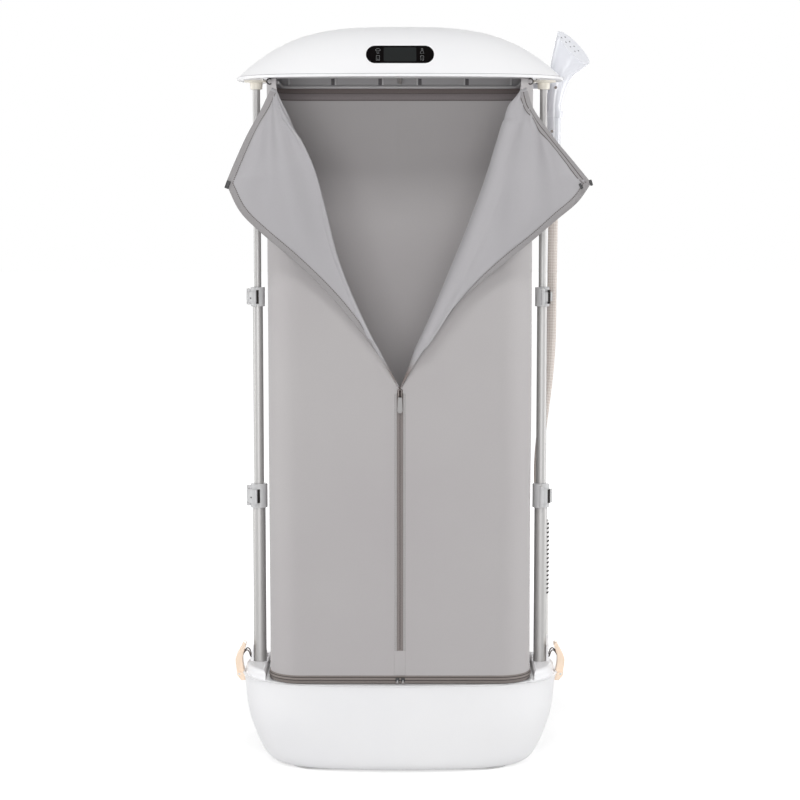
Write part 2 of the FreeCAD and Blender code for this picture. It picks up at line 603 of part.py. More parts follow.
def outlet_tray():
    """Grey pan let into the floor of the head: its roof has the warm-air slots, its front edge is cut low."""
    panel_foot = TRAY_TOP - 2
    roof = rounded_prism(TRAY_X, TRAY_Y, TRAY_CORNER, panel_foot, TRAY_TOP)
    flange = tray_ring(2.4, 0.0, FLOOR_BOTTOM - 2, FLOOR_BOTTOM)
    lip = tray_ring(0.0, -10.0, TRAY_BOTTOM, TRAY_BOTTOM + 6)
    frame = joined([tray_ring(0.0, -TRAY_WALL, TRAY_BOTTOM, TRAY_TOP), lip])
    frame = frame.cut(box(-TRAY_X, TRAY_X, -TRAY_Y, -TRAY_Y + 36, TRAY_BOTTOM, FLOOR_BOTTOM - 2))
    inside = TRAY_Y - TRAY_WALL
    ribs = []
    cutters = []
    for x in SLOT_PLACES:
        beside = x - math.copysign(6.0, x)
        ribs.append(box(beside - 1.5, beside + 1.5, inside - 4, inside + 1, TRAY_BOTTOM + 5, TRAY_TOP))
        cutters.append(box(x - 3.5, x + 3.5, inside - 1, TRAY_Y + 1, FLOOR_TOP + 0.5, panel_foot - 2))
    pitch = (HEATER[3] - HEATER[2] - 16) / OUTLET_SLOTS
    for index in range(OUTLET_SLOTS):
        y = HEATER[2] + 8 + (index + 0.5) * pitch
        for x0, x1 in ((-40, -6), (6, 40)):
            cutters.append(box(x0, x1, y - 3, y + 3, panel_foot, TRAY_TOP))
    return joined([frame, roof, flange] + ribs).cut(Part.makeCompound(cutters))


def pole_socket():
    socket = round_top(cylinder(SOCKET_R, SOCKET_FOOT, FLOOR_BOTTOM, POLE_X), SOCKET_FOOT, 4.0)
    return socket.cut(cylinder(UPPER_R, SOCKET_FOOT, FLOOR_BOTTOM, POLE_X))


def hanger_rail():
    bar = Part.makeCylinder(RAIL_R, 2 * RAIL_REACH, V(0, -RAIL_REACH, RAIL_LEVEL), BACK)
    legs = [cylinder(RAIL_R, RAIL_LEVEL, TRAY_TOP - 2, 0, sy * RAIL_REACH) for sy in (-1, 1)]
    knees = [Part.makeSphere(RAIL_R, V(0, sy * RAIL_REACH, RAIL_LEVEL)) for sy in (-1, 1)]
    notches = []
    for index in range(RAIL_NOTCHES):
        y = (index - RAIL_NOTCHES // 2) * NOTCH_PITCH
        notches.append(Part.makeTorus(RAIL_R + 1.2, 1.8, V(0, y, RAIL_LEVEL), BACK))
    return joined([bar] + legs + knees).cut(Part.makeCompound(notches))


def control_board():
    board = box(-62, 62, -1, 1, -20, 20)
    chips = [box(-50 + 34 * i, -30 + 34 * i, 1, 5, -8, 8) for i in range(4)]
    board = joined([board] + chips)
    board.rotate(V(0, 0, 0), V(1, 0, 0), -36)
    board.translate(V(0, BOARD_Y, RIM + 32))
    legs = [box(x - 3, x + 3, BOARD_Y - 9, BOARD_Y - 1, TRAY_TOP, RIM + 24) for x in (-43, 43)]
    return joined([board] + legs)


def blower_housing():
    scroll = cylinder(BLOWER_R, SCROLL_FOOT, SCROLL_TOP, BLOWER_X)
    hollow = cylinder(BLOWER_R - 2, SCROLL_FOOT + 2, SCROLL_TOP - 2, BLOWER_X)
    duct = box(BLOWER_X, HEATER[0], DUCT_Y0, DUCT_Y1, SCROLL_FOOT, SCROLL_TOP)
    duct_bore = box(BLOWER_X, HEATER[0], DUCT_Y0 + 2, DUCT_Y1 - 2, SCROLL_FOOT + 2, SCROLL_TOP - 2)
    eye = cylinder(36, SCROLL_TOP - 2, SCROLL_TOP, BLOWER_X)
    seat = cylinder(MOTOR_R, SCROLL_FOOT, SCROLL_FOOT + 2, BLOWER_X)
    feet = [cylinder(5, TRAY_TOP, SCROLL_FOOT, BLOWER_X + dx, dy) for dx, dy in ((-48, 0), (24, 42), (24, -42))]
    return joined([scroll, duct] + feet).cut(Part.makeCompound([hollow, duct_bore, eye, seat]))


def blower_motor():
    can = cylinder(MOTOR_R, TRAY_TOP, SCROLL_FOOT + 2, BLOWER_X)
    return joined([can, cylinder(SHAFT_R, SCROLL_FOOT, SCROLL_TOP - 8, BLOWER_X)])


def impeller():
    foot, top, radius = SCROLL_FOOT + 5, SCROLL_TOP - 5, BLOWER_R - 10
    plate = cylinder(radius, foot, foot + 2)
    hub = cylinder(8, foot, foot + 22)
    blades = []
    for index in range(24):
        blade = box(radius - 12, radius, -0.9, 0.9, foot, top)
        blade.rotate(V(radius - 6, 0, 0), UP, 32)
        blade.rotate(V(0, 0, 0), UP, 15.0 * index)
        blades.append(blade)
    wheel = joined([plate, hub] + blades).cut(cylinder(SHAFT_R + RUNNING_FIT, foot, top))
    wheel.translate(V(BLOWER_X, 0, 0))
    return wheel


def heater():
    x0, x1, y0, y1 = HEATER
    frame = box(x0, x1, y0, y1, TRAY_TOP, SCROLL_TOP)
    frame = frame.cut(box(x0 + 3, x1 - 3, y0 + 3, y1 - 3, TRAY_TOP, SCROLL_TOP - 3))
    frame = frame.cut(box(x0, x0 + 3, DUCT_Y0 + 2, DUCT_Y1 - 2, SCROLL_FOOT + 2, SCROLL_TOP - 3))
    fins = [box(x0 + 3, x1 - 3, y0 + 9 + 9 * i, y0 + 10.5 + 9 * i, TRAY_TOP + 2, TRAY_TOP + 18) for i in range(11)]
    bars = [box(x0 + 20 + 36 * i, x0 + 26 + 36 * i, y0 + 3, y1 - 3, TRAY_TOP + 7, TRAY_TOP + 12) for i in range(3)]
    return joined([frame] + fins + bars)


# Steam wand: a straight handle that swells into a tilted oval steam face

# Sections of the flare: left and right edge as (x, z), depth of the middle, half depth, lean to the front
FLARE = (
    ((WAND_X - HANDLE_R, HANDLE_TOP), (WAND_X + HANDLE_R, HANDLE_TOP), WAND_Y, HANDLE_R, 0.0),
    ((WAND_X - 14.7, RIM - 22), (WAND_X + 22, RIM - 26), WAND_Y, 17.0, 0.04),
    ((WAND_X - 12, RIM + 10), (WAND_X + 31.5, RIM - 3), WAND_Y - 0.5, 19.5, 0.13),
    ((WAND_X - 6.5, RIM + 48), (WAND_X + 47, RIM + 15.5), WAND_Y - 2, 23.0, 0.27),
    ((WAND_X + 6.4, RIM + 106.6), (WAND_X + 75.6, RIM + 37.4), WAND_Y - 8, 30.0, 0.58),
)
PLATE_SHARE, PLATE_THICK, CAVITY_SHARE = 0.88, 3.0, 0.8
WAND_SCREW_R, WAND_POST_R = 3.2, 5.5
STEAM_HOLE_R, STEAM_HOLE_PITCH, STEAM_ROW = 2.0, 14.0, 8.0
STEAM_BORE = 4.0
HOLDER_FOOT, HOLDER_TOP = RIM - 80, RIM - 66
HOLDER_CLEAR, HOLDER_WALL = 0.5, 4.0
ARM_FOOT = RIM - 18


def flare_axes(section):
    """Middle of a section and its two half axes, the long one towards the right edge."""
    left, right, depth, half_depth, lean = section
    middle = V((left[0] + right[0]) / 2, depth, (left[1] + right[1]) / 2)
    long_axis = V(right[0] - left[0], 0, right[1] - left[1]) * 0.5
    upright = V(-long_axis.z, 0, long_axis.x).normalize()
    normal = (upright - BACK * lean).normalize()
    short_axis = normal.cross(V(long_axis).normalize()) * half_depth
    return middle, long_axis, short_axis, normal


def oval_wire(section, share):
    middle, long_axis, short_axis, normal = flare_axes(section)
    points = []
    for index in range(12):
        angle = 2 * math.pi * index / 12
        points.append(middle + (long_axis * math.cos(angle) + short_axis * math.sin(angle)) * share)
    curve = Part.BSplineCurve()
    curve.interpolate(points, PeriodicFlag=True)
    return Part.Wire([curve.toShape()])


def flare_body(share):
    return Part.makeLoft([oval_wire(section, share) for section in FLARE], True, False)


def wand_screw_places():
    return (V(WAND_X + 2, WAND_Y - 20, RIM - 15), V(WAND_X - 5, WAND_Y - HANDLE_R, RIM - 110))


def oval_slab(share, depth):
    normal = flare_axes(FLARE[-1])[3]
    return Part.Face(oval_wire(FLARE[-1], share)).extrude(normal * -depth)


def wand_body():
    """Hollow shell: the hose ends in the handle, a web with a steam bore parts it from the flare."""
    handle = Part.Face(oval_wire(FLARE[0], 1.0)).extrude(V(0, 0, WAND_FOOT - HANDLE_TOP))
    outside = joined([handle, flare_body(1.0)])
    web_top = HOSE_END + 14
    handle_bore = cylinder(HOSE_BORE, web_top, HANDLE_TOP + 12, WAND_X, WAND_Y)
    shell = outside.cut(flare_body(CAVITY_SHARE).fuse(handle_bore))
    posts = [Part.makeCylinder(WAND_POST_R, 12, place + BACK, BACK).common(outside) for place in wand_screw_places()]
    body = joined([shell] + posts)
    cutters = [cylinder(HOSE_BORE, WAND_FOOT, HOSE_END + 8, WAND_X, WAND_Y),
               cylinder(STEAM_BORE, HOSE_END, web_top, WAND_X, WAND_Y),
               oval_slab(PLATE_SHARE, PLATE_THICK)]
    cutters += [Part.makeCylinder(WAND_SCREW_R, 9, place - BACK, BACK) for place in wand_screw_places()]
    for cutter in cutters:
        body = body.cut(cutter)
    return body


def steam_plate():
    """Oval plate with two rows of steam holes, nearer to its upper end."""
    middle, long_axis, short_axis, normal = flare_axes(FLARE[-1])
    along = V(long_axis).normalize()
    behind = V(short_axis).normalize()
    holes = []
    for row, first in ((STEAM_ROW, -29.0), (-STEAM_ROW, -34.0)):
        for index in range(4):
            shift = first + index * STEAM_HOLE_PITCH
            place = middle + along * shift + behind * row - normal * (PLATE_THICK + 0.5)
            holes.append(Part.makeCylinder(STEAM_HOLE_R, PLATE_THICK + 2, place, normal))
    return oval_slab(PLATE_SHARE, PLATE_THICK).cut(Part.makeCompound(holes))


def wand_screws():
    screws = [Part.makeCylinder(WAND_SCREW_R, 5, place + BACK * 3, BACK) for place in wand_screw_places()]
    return Part.makeCompound(screws)


def wand_holder():
    bore_r = HANDLE_R + HOLDER_CLEAR
    ring = tube(bore_r + HOLDER_WALL, bore_r, HOLDER_FOOT, HOLDER_TOP, WAND_X, WAND_Y)
    y0, y1 = WAND_Y - 7, WAND_Y + 7
    post_x = WAND_X - bore_r - HOLDER_WALL
    foot_x = BAG_X - 3
    under_lip = LIP_BOTTOM - 0.5
    bore = cylinder(bore_r, HOLDER_FOOT, HOLDER_TOP, WAND_X, WAND_Y)
    post = box(post_x - 6, post_x + 2, y0, y1, HOLDER_FOOT, under_lip)
    arm = box(foot_x, post_x + 2, y0, y1, ARM_FOOT, under_lip)
    foot = box(foot_x, foot_x + 12, y0, y1, ARM_FOOT, FLOOR_BOTTOM)
    return joined([ring, post.cut(bore), arm, foot])


# Fabric cover, its flaps and its zips

SLIDER_Z = OPEN_FOOT - 10.0


def flap_points(tip_x):
    """Corner where the flap starts, and the two directions of its rolled section."""
    side = math.copysign(1.0, tip_x)
    corner = V(side * OPEN_X, -BAG_Y - GAP, OPEN_Z)
    outwards = V(tip_x - corner.x, 0, TIP_Z - OPEN_Z)
    return corner, outwards.Length, -outwards.normalize(), V(0, -1, 0)


def flap_section(tip_x, shrink):
    """Thin band: an arc that rolls the cloth over, then a straight run to the tip, shrunk to the foot."""
    corner, reach, inward, forward = flap_points(tip_x)
    foot = V(0, -BAG_Y - GAP, OPEN_FOOT)

    def at(radius, turn, run):
        heading = inward * math.cos(turn) + forward * math.sin(turn)
        centre = corner + forward * ROLL_R
        rim = inward * (radius * math.sin(turn)) - forward * (radius * math.cos(turn))
        return foot + (centre + rim + heading * run - foot) * shrink

    run = (reach + ROLL_R * math.sin(ROLL_TURN)) / -math.cos(ROLL_TURN)
    inner = ROLL_R - CLOTH
    half = ROLL_TURN / 2
    outer_arc = Part.Arc(at(ROLL_R, 0, 0), at(ROLL_R, half, 0), at(ROLL_R, ROLL_TURN, 0))
    inner_arc = Part.Arc(at(inner, ROLL_TURN, 0), at(inner, half, 0), at(inner, 0, 0))
    edges = [outer_arc.toShape(),
             Part.LineSegment(at(ROLL_R, ROLL_TURN, 0), at(ROLL_R, ROLL_TURN, run)).toShape(),
             Part.LineSegment(at(ROLL_R, ROLL_TURN, run), at(inner, ROLL_TURN, run)).toShape(),
             Part.LineSegment(at(inner, ROLL_TURN, run), at(inner, ROLL_TURN, 0)).toShape(),
             inner_arc.toShape(),
             Part.LineSegment(at(inner, 0, 0), at(ROLL_R, 0, 0)).toShape()]
    return Part.Wire(edges)


def flap(tip_x):
    return Part.makeLoft([flap_section(tip_x, 1.0), flap_section(tip_x, 0.06)], True, True)


def bag_cover():
    outside = rounded_prism(BAG_X, BAG_Y, BAG_CORNER, BAG_BOTTOM, BAG_TOP)
    inside = rounded_prism(BAG_X - CLOTH, BAG_Y - CLOTH, BAG_CORNER - CLOTH, BAG_BOTTOM + CLOTH, BAG_TOP)
    opening = side_prism(((0, OPEN_FOOT), (OPEN_X, OPEN_Z), (OPEN_X, BAG_TOP), (-OPEN_X, BAG_TOP), (-OPEN_X, OPEN_Z)),
                         -BAG_Y - 5, -BAG_Y + BAG_CORNER)
    return outside.cut(inside).cut(opening)


def front_zip():
    patch_foot, patch_top = BAG_BOTTOM + 19.5, BAG_BOTTOM + 72.5
    tape = box(-7, 7, -BAG_Y - 2, -BAG_Y - GAP, patch_top, OPEN_FOOT - 6)
    teeth = box(-2, 2, -BAG_Y - 3.2, -BAG_Y - 1.5, patch_top + 2, OPEN_FOOT - 6)
    patch = box(-12, 12, -BAG_Y - 2, -BAG_Y - GAP, patch_foot, patch_top)
    return joined([tape, teeth, patch])


def hem_zip():
    foot, top = BAG_BOTTOM + 0.5, BAG_BOTTOM + 17.5
    grow = CLOTH
    band = rounded_prism(BAG_X + grow, BAG_Y + grow, BAG_CORNER + grow, foot, top)
    band = band.cut(rounded_prism(BAG_X + GAP, BAG_Y + GAP, BAG_CORNER + GAP, foot, top))
    bead = rounded_prism(BAG_X + grow + 1, BAG_Y + grow + 1, BAG_CORNER + grow + 1, foot + 7, foot + 10)
    bead = bead.cut(rounded_prism(BAG_X + 1, BAG_Y + 1, BAG_CORNER + 1, foot + 7, foot + 10))
    return joined([band, bead])


def zip_slider():
    y = -BAG_Y - 2.5
    body = side_prism(((-6, 12), (6, 12), (3.5, -8), (-3.5, -8)), y - 4, y - 1.2)
    loop = box(-1.6, 1.6, y - 7, y - 4, -4, 6)
    tab = box(-4, 4, y - 6.4, y - 5, -42, -6)
    tab = tab.makeFillet(3.0, [e for e in tab.Edges if e.BoundBox.YLength > 1 and e.BoundBox.XLength < 0.1
                               and e.BoundBox.ZLength < 0.1])
    link = box(-1, 1, y - 6.4, y - 5, -8, -3)
    slider = joined([body, loop, link, tab])
    slider.translate(V(0, 0, SLIDER_Z))
    return slider


def build():
    os.makedirs("parts", exist_ok=True)
    save("base_tub", base_tub())
    save("floor_pad", floor_pad())
    deck = base_deck()
    save("base_deck", deck)
    save("deck_screws", deck_screws())
    save("water_tank", water_tank())
    save("tank_cap", tank_cap())
    save("steam_boiler", steam_boiler())
    save("steam_pipe", steam_pipe())
    save("water_pump", water_pump())
    save("relay_board", relay_board())
    save("mains_inlet", mains_inlet())
    save("hose_socket", hose_socket())
    save("bend_guard", bend_guard())
    save("steam_hose", routed_tube(hose_route(), HOSE_R))
    save("latch_brackets", latch_brackets(deck))
    save("latch_pins", both_sides(latch_pin()))
    lever = latch_lever()
    save("right_latch", lever)
    save("left_latch", mirrored(lever))
    poles()
    head_pieces()
    save("wand_body", wand_body())
    save("steam_plate", steam_plate())
    save("wand_screws", wand_screws())
    save("bag_cover", bag_cover())
    save("left_flap", flap(LEFT_TIP_X))
    save("right_flap", flap(RIGHT_TIP_X))
    save("front_zip", front_zip())
    save("hem_zip", hem_zip())
    save("zip_slider", zip_slider())


def poles():
    stages = (("lower", LOWER_R, LOWER_BORE, LOWER_FOOT, LOWER_HEAD),
              ("mid", MID_R, MID_BORE, MID_FOOT, MID_HEAD),
              ("upper", UPPER_R, UPPER_BORE, UPPER_FOOT, UPPER_HEAD))
    clamps = (("lower", LOWER_CLAMP, LOWER_R, MID_R, LOWER_HEAD), ("upper", UPPER_CLAMP, MID_R, UPPER_R, MID_HEAD))
    for word, side in (("left", -1), ("right", 1)):
        for stage, radius, bore, foot, top in stages:
            save(f"{word}_{stage}_tube", tube(radius, bore, foot, top, side * POLE_X))
        for stage, ends, outer_r, inner_r, split in clamps:
            save(f"{word}_{stage}_clamp", placed(clamp_collar(ends, outer_r, inner_r, split), side))
            save(f"{word}_{stage}_lever", placed(clamp_lever(ends, outer_r), side))
    pairs = (("lower_lever_pins", clamp_pin(LOWER_CLAMP, LOWER_R)),
             ("upper_lever_pins", clamp_pin(UPPER_CLAMP, MID_R)),
             ("mid_glides", glide(MID_R, LOWER_BORE, MID_FOOT)),
             ("upper_glides", glide(UPPER_R, MID_BORE, UPPER_FOOT)))
    for name, piece in pairs:
        save(name, Part.makeCompound([placed(piece, -1), placed(piece, 1)]))


def head_pieces():
    outer, inner = dome_body(0.0), dome_body(-WALL)
    save("head_dome", head_dome(outer, inner))
    save("display_lens", display_lens(outer, inner))
    save("display_screen", display_screen(outer, inner))
    save("head_floor", head_floor())
    save("head_screws", head_screws())
    save("outlet_tray", outlet_tray())
    save("pole_sockets", both_sides(pole_socket()))
    save("hanger_rail", hanger_rail())
    save("control_board", control_board())
    save("blower_housing", blower_housing())
    save("blower_motor", blower_motor())
    save("impeller", impeller())
    save("heater", heater())
    save("wand_holder", wand_holder())


build()
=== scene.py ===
# %% [markdown]
# # A portable clothes dryer
# The dryer is a white tub on the floor, two telescopic poles, a domed head that blows warm air, and a grey
# cloth cover that hangs between them. A steam wand hangs at the right on a woven hose. The engineering
# model gives every rigid piece at its true place. This lesson dresses it: light, finishes and cloth.

# %% Load the frame
import math

import bpy
from mathutils import Matrix, Vector, noise
from mathutils.bvhtree import BVHTree


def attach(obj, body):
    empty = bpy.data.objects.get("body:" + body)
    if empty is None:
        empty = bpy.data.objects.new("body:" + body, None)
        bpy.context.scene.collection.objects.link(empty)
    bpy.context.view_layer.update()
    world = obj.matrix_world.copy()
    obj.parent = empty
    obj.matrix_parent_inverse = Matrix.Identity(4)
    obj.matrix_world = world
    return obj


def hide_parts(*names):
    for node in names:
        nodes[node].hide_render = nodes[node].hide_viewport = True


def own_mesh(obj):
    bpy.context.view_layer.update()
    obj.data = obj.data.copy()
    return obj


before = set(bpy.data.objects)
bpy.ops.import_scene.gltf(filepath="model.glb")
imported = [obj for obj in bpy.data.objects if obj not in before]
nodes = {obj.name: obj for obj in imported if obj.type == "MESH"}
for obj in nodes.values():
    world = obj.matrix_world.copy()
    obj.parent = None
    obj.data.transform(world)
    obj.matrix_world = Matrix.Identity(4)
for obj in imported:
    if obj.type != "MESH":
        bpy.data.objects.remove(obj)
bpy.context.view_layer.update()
scene = bpy.context.scene
SIDES = {-1: "left", 1: "right"}
bpy.ops.object.select_all(action="DESELECT")

# %% [markdown]
# ## Camera
# The photograph was taken from a little above the middle of the object with a long lens. The upright poles
# hardly converge, so the camera stands more than four metres away and looks down by under six degrees.

# %% Place the camera
CAMERA_HEIGHT, CAMERA_DISTANCE, LOOK_DOWN = 1.231, 4.347, 5.7
LENS, SENSOR = 90, 36

camera_data = bpy.data.cameras.new("photo_camera")
camera_data.lens = LENS
camera_data.sensor_width = SENSOR
camera = bpy.data.objects.new("photo_camera", camera_data)
scene.collection.objects.link(camera)
camera.location = (0, -CAMERA_DISTANCE, CAMERA_HEIGHT)
camera.rotation_euler = (math.radians(90 - LOOK_DOWN), 0, 0)
scene.camera = camera
scene.view_settings.view_transform = "Standard"
print("camera", camera.location[:])

# %% [markdown]
# ## Shader nodes
# Every finish is a small tree of shader nodes. These helpers add a node, link it to others and do sums with
# them.

# %% Node helpers
def set_inputs(tree, node, inputs):
    """Give each input a number, a colour or the output of another node."""
    for socket, value in inputs.items():
        if isinstance(value, bpy.types.NodeSocket):
            tree.links.new(value, node.inputs[socket])
        else:
            node.inputs[socket].default_value = value


def add_node(tree, kind, inputs, **settings):
    node = tree.nodes.new("ShaderNode" + kind)
    for name, value in settings.items():
        setattr(node, name, value)
    set_inputs(tree, node, inputs)
    return node


def maths(tree, operation, *values):
    return add_node(tree, "Math", dict(enumerate(values)), operation=operation).outputs[0]


def ranged(tree, value, low, high, low_out=0.0, high_out=1.0, **settings):
    """A value stretched from one range to another and held at its ends."""
    ends = {"From Min": low, "From Max": high, "To Min": low_out, "To Max": high_out}
    return add_node(tree, "MapRange", {"Value": value, **ends}, **settings).outputs["Result"]


def distance_to(tree, place):
    """How far a place is from the origin."""
    return add_node(tree, "VectorMath", {0: place}, operation="LENGTH").outputs["Value"]


print("node helpers", 5)

# %% [markdown]
# ## Stage
# A pale floor under soft light keeps the shadow of the base. Seen by the camera, world and far floor are
# white. One large panel behind the camera lights the front and, through the opening, the inside of the
# cover. A smaller key panel stands higher, and a low one reaches the underside of the head. Two at the
# sides make the edges that turn away from the camera a little lighter. Two more, above and behind, light
# the dome and the back.

# %% World and floor
WORLD_LIGHT = 0.12
NEAR_GLOW, FAR_GLOW = 0.55, 1.0
NEAR_REACH, FAR_REACH = 0.6, 2.2
FLOOR_SIZE, FLOOR_DROP = 60, 0.0005
FLOOR_COLOUR = (0.7, 0.7, 0.7, 1)


def seen_directly(tree):
    """One where a ray comes from the camera, a gloss or a clear material, zero for diffuse light."""
    path = add_node(tree, "LightPath", {}).outputs
    sharp = maths(tree, "MAXIMUM", path["Is Camera Ray"], path["Is Glossy Ray"])
    return maths(tree, "MAXIMUM", sharp, path["Is Transmission Ray"])


world = bpy.data.worlds.new("white_room")
scene.world = world
world.use_nodes = True
tree = world.node_tree
strength = ranged(tree, seen_directly(tree), 0.0, 1.0, WORLD_LIGHT, 1.0)
set_inputs(tree, tree.nodes["Background"], {"Color": (1, 1, 1, 1), "Strength": strength})

bpy.ops.mesh.primitive_plane_add(size=FLOOR_SIZE, location=(0, 0, -FLOOR_DROP))
floor = bpy.context.object
floor.name = "studio_floor"
floor_material = bpy.data.materials.new("studio_floor")
floor_material.use_nodes = True
tree = floor_material.node_tree
tree.nodes.clear()
away = distance_to(tree, add_node(tree, "TexCoord", {}).outputs["Object"])
glow_level = ranged(tree, away, NEAR_REACH, FAR_REACH, NEAR_GLOW, FAR_GLOW)
matt = add_node(tree, "BsdfDiffuse", {"Color": FLOOR_COLOUR})
glow = add_node(tree, "Emission", {"Strength": maths(tree, "MULTIPLY", seen_directly(tree), glow_level)})
both = add_node(tree, "AddShader", {0: matt.outputs[0], 1: glow.outputs[0]})
add_node(tree, "OutputMaterial", {"Surface": both.outputs[0]})
floor.data.materials.append(floor_material)
print("floor", floor.name)

# %% Soft light panels
def light_panel(name, place, aim, width, height, watts):
    data = bpy.data.lights.new(name, "AREA")
    data.shape = "RECTANGLE"
    data.size, data.size_y = width, height
    data.energy = watts
    lamp = bpy.data.objects.new(name, data)
    scene.collection.objects.link(lamp)
    lamp.location = place
    lamp.rotation_euler = (Vector(aim) - Vector(place)).to_track_quat("-Z", "Y").to_euler()


light_panel("left_panel", (-2.8, 0.1, 1.2), (0, 0, 0.9), 1.2, 2.4, 36)
light_panel("right_panel", (2.8, 0.1, 1.2), (0, 0, 0.9), 1.2, 2.4, 42)
light_panel("front_panel", (-0.3, -5.2, 1.2), (0, 0, 0.9), 2.6, 1.8, 102)
light_panel("key_panel", (-0.2, -2.8, 3.6), (0, 0, 1.0), 1.6, 0.8, 38)
light_panel("low_panel", (0.0, -2.6, 0.25), (0, 0, 1.45), 1.6, 0.6, 5)
light_panel("top_panel", (0.0, -0.3, 3.6), (0, 0, 1.4), 2.4, 1.6, 14)
light_panel("back_panel", (0.4, 5.0, 1.6), (0, 0, 0.9), 2.6, 1.8, 45)

# %% [markdown]
# ## Shared effects
# Three effects return in many finishes: a broad drift of tone, the fine grain of a moulded surface, and a
# plain weave. Each is a node group that is built once and gives out values that vary over the surface.

# %% Node groups
def new_group(name, outputs, **inputs):
    """Node group with a vector and some numbers going in and some numbers coming out."""
    group = bpy.data.node_groups.new(name, "ShaderNodeTree")
    group.interface.new_socket("Vector", in_out="INPUT", socket_type="NodeSocketVector")
    for socket, value in inputs.items():
        made = group.interface.new_socket(socket, in_out="INPUT", socket_type="NodeSocketFloat")
        made.default_value = value
    for socket in outputs:
        group.interface.new_socket(socket, in_out="OUTPUT", socket_type="NodeSocketFloat")
    return group, group.nodes.new("NodeGroupInput").outputs, group.nodes.new("NodeGroupOutput")


def clouds(tree, vector, scale, detail):
    return add_node(tree, "TexNoise", {"Vector": vector, "Scale": scale, "Detail": detail}).outputs["Fac"]


def tone_group():
    group, start, end = new_group("broad_tone", ["Tone"], Scale=3.0)
    cloud = clouds(group, start["Vector"], start["Scale"], 3.0)
    set_inputs(group, end, {"Tone": ranged(group, cloud, 0.3, 0.7)})
    return group


def grain_group():
    group, start, end = new_group("moulded_grain", ["Height", "Roughness"], Scale=900.0, Matt=0.25,
                                  Spread=0.08)
    fine = clouds(group, start["Vector"], start["Scale"], 2.0)
    smear = clouds(group, start["Vector"], 14.0, 4.0)
    swing = maths(group, "MULTIPLY", maths(group, "SUBTRACT", smear, 0.5), start["Spread"])
    set_inputs(group, end, {"Height": fine, "Roughness": maths(group, "ADD", swing, start["Matt"])})
    return group


def weave_group():
    group, start, end = new_group("plain_weave", ["Height", "Shade"], Threads=900.0)
    parts = add_node(group, "SeparateXYZ", {0: start["Vector"]}).outputs
    turns = maths(group, "MULTIPLY", start["Threads"], math.pi)
    across, along = (maths(group, "SINE", maths(group, "MULTIPLY", parts[axis], turns)) for axis in "XY")
    over = maths(group, "ABSOLUTE", maths(group, "MULTIPLY", across, along))
    slub = clouds(group, start["Vector"], 260.0, 3.0)
    height = maths(group, "ADD", over, maths(group, "MULTIPLY", slub, 0.6))
    set_inputs(group, end, {"Height": height, "Shade": slub})
    return group


TONE, GRAIN, WEAVE = tone_group(), grain_group(), weave_group()
print("groups", [g.name for g in bpy.data.node_groups])

# %% [markdown]
# ## Finishes of the rigid pieces
# The shell is white gloss plastic, the clamps are light grey, the latches and pole sockets are cream.
# Colours are written as they are read from a picture and turned into linear light. They drift a little, so
# that no surface is one flat colour.

# %% Helpers for finishes
SHADER_INPUT = {"mirror": "Specular IOR Level", "coat": "Coat Weight", "coat_matt": "Coat Roughness",
                "bare": "Metallic", "sheen": "Sheen Weight", "sheen_matt": "Sheen Roughness"}


def linear(colour):
    """Colour as read from a picture, 0 to 255, turned into linear light."""
    return tuple(((v / 255 + 0.055) / 1.055) ** 2.4 for v in colour) + (1.0,)


def darkened(colour, share):
    return tuple(v * share for v in linear(colour)[:3]) + (1.0,)


def placed_group(tree, group, source, **values):
    return add_node(tree, "Group", {"Vector": source, **values}, node_tree=group).outputs


def mixed(tree, factor, first, second):
    """Colour between two colours or colour sockets."""
    return add_node(tree, "Mix", {"Factor": factor, 6: first, 7: second}, data_type="RGBA").outputs[2]


def mapped(tree, source, **values):
    return add_node(tree, "Mapping", {"Vector": source, **values}).outputs["Vector"]


def fresh(name, coordinate="Object"):
    material = bpy.data.materials.new(name)
    material.use_nodes = True
    tree = material.node_tree
    return material, tree, tree.nodes["Principled BSDF"], add_node(tree, "TexCoord", {}).outputs[coordinate]


def looks(tree, shader, colour, rough, relief, **others):
    """Set colour, roughness, relief (height, strength and depth) and other inputs named in plain words."""
    height, strength, depth = relief
    bump = add_node(tree, "Bump", {"Height": height, "Strength": strength, "Distance": depth})
    set_inputs(tree, shader, {"Base Color": colour, "Roughness": rough, "Normal": bump.outputs["Normal"]})
    set_inputs(tree, shader, {SHADER_INPUT[word]: value for word, value in others.items()})


def moulded(name, colour, drift, matt, coat=0.0, grain=900.0, bump=0.05, mirror=0.5):
    """Injection-moulded plastic: slow drift of tone, fine grain in gloss and relief."""
    material, tree, shader, source = fresh(name)
    tone = placed_group(tree, TONE, source, Scale=4.0)["Tone"]
    surface = placed_group(tree, GRAIN, source, Scale=grain, Matt=matt)
    looks(tree, shader, mixed(tree, tone, linear(colour), linear(drift)), surface["Roughness"],
          (surface["Height"], bump, 0.0004), mirror=mirror, coat=coat, coat_matt=0.08)
    return material


def metal(name, colour, drift, matt, stretch, share=1.0):
    """Drawn or brushed metal: the grain is stretched by axis, share is how bare the metal is."""
    material, tree, shader, source = fresh(name)
    drawn = mapped(tree, source, Scale=stretch)
    tone = placed_group(tree, TONE, drawn, Scale=30.0)["Tone"]
    surface = placed_group(tree, GRAIN, drawn, Scale=500.0, Matt=matt, Spread=0.12)
    looks(tree, shader, mixed(tree, tone, linear(colour), linear(drift)), surface["Roughness"],
          (surface["Height"], 0.06, 0.0003), bare=share)
    return material


print("shader inputs in words", list(SHADER_INPUT))

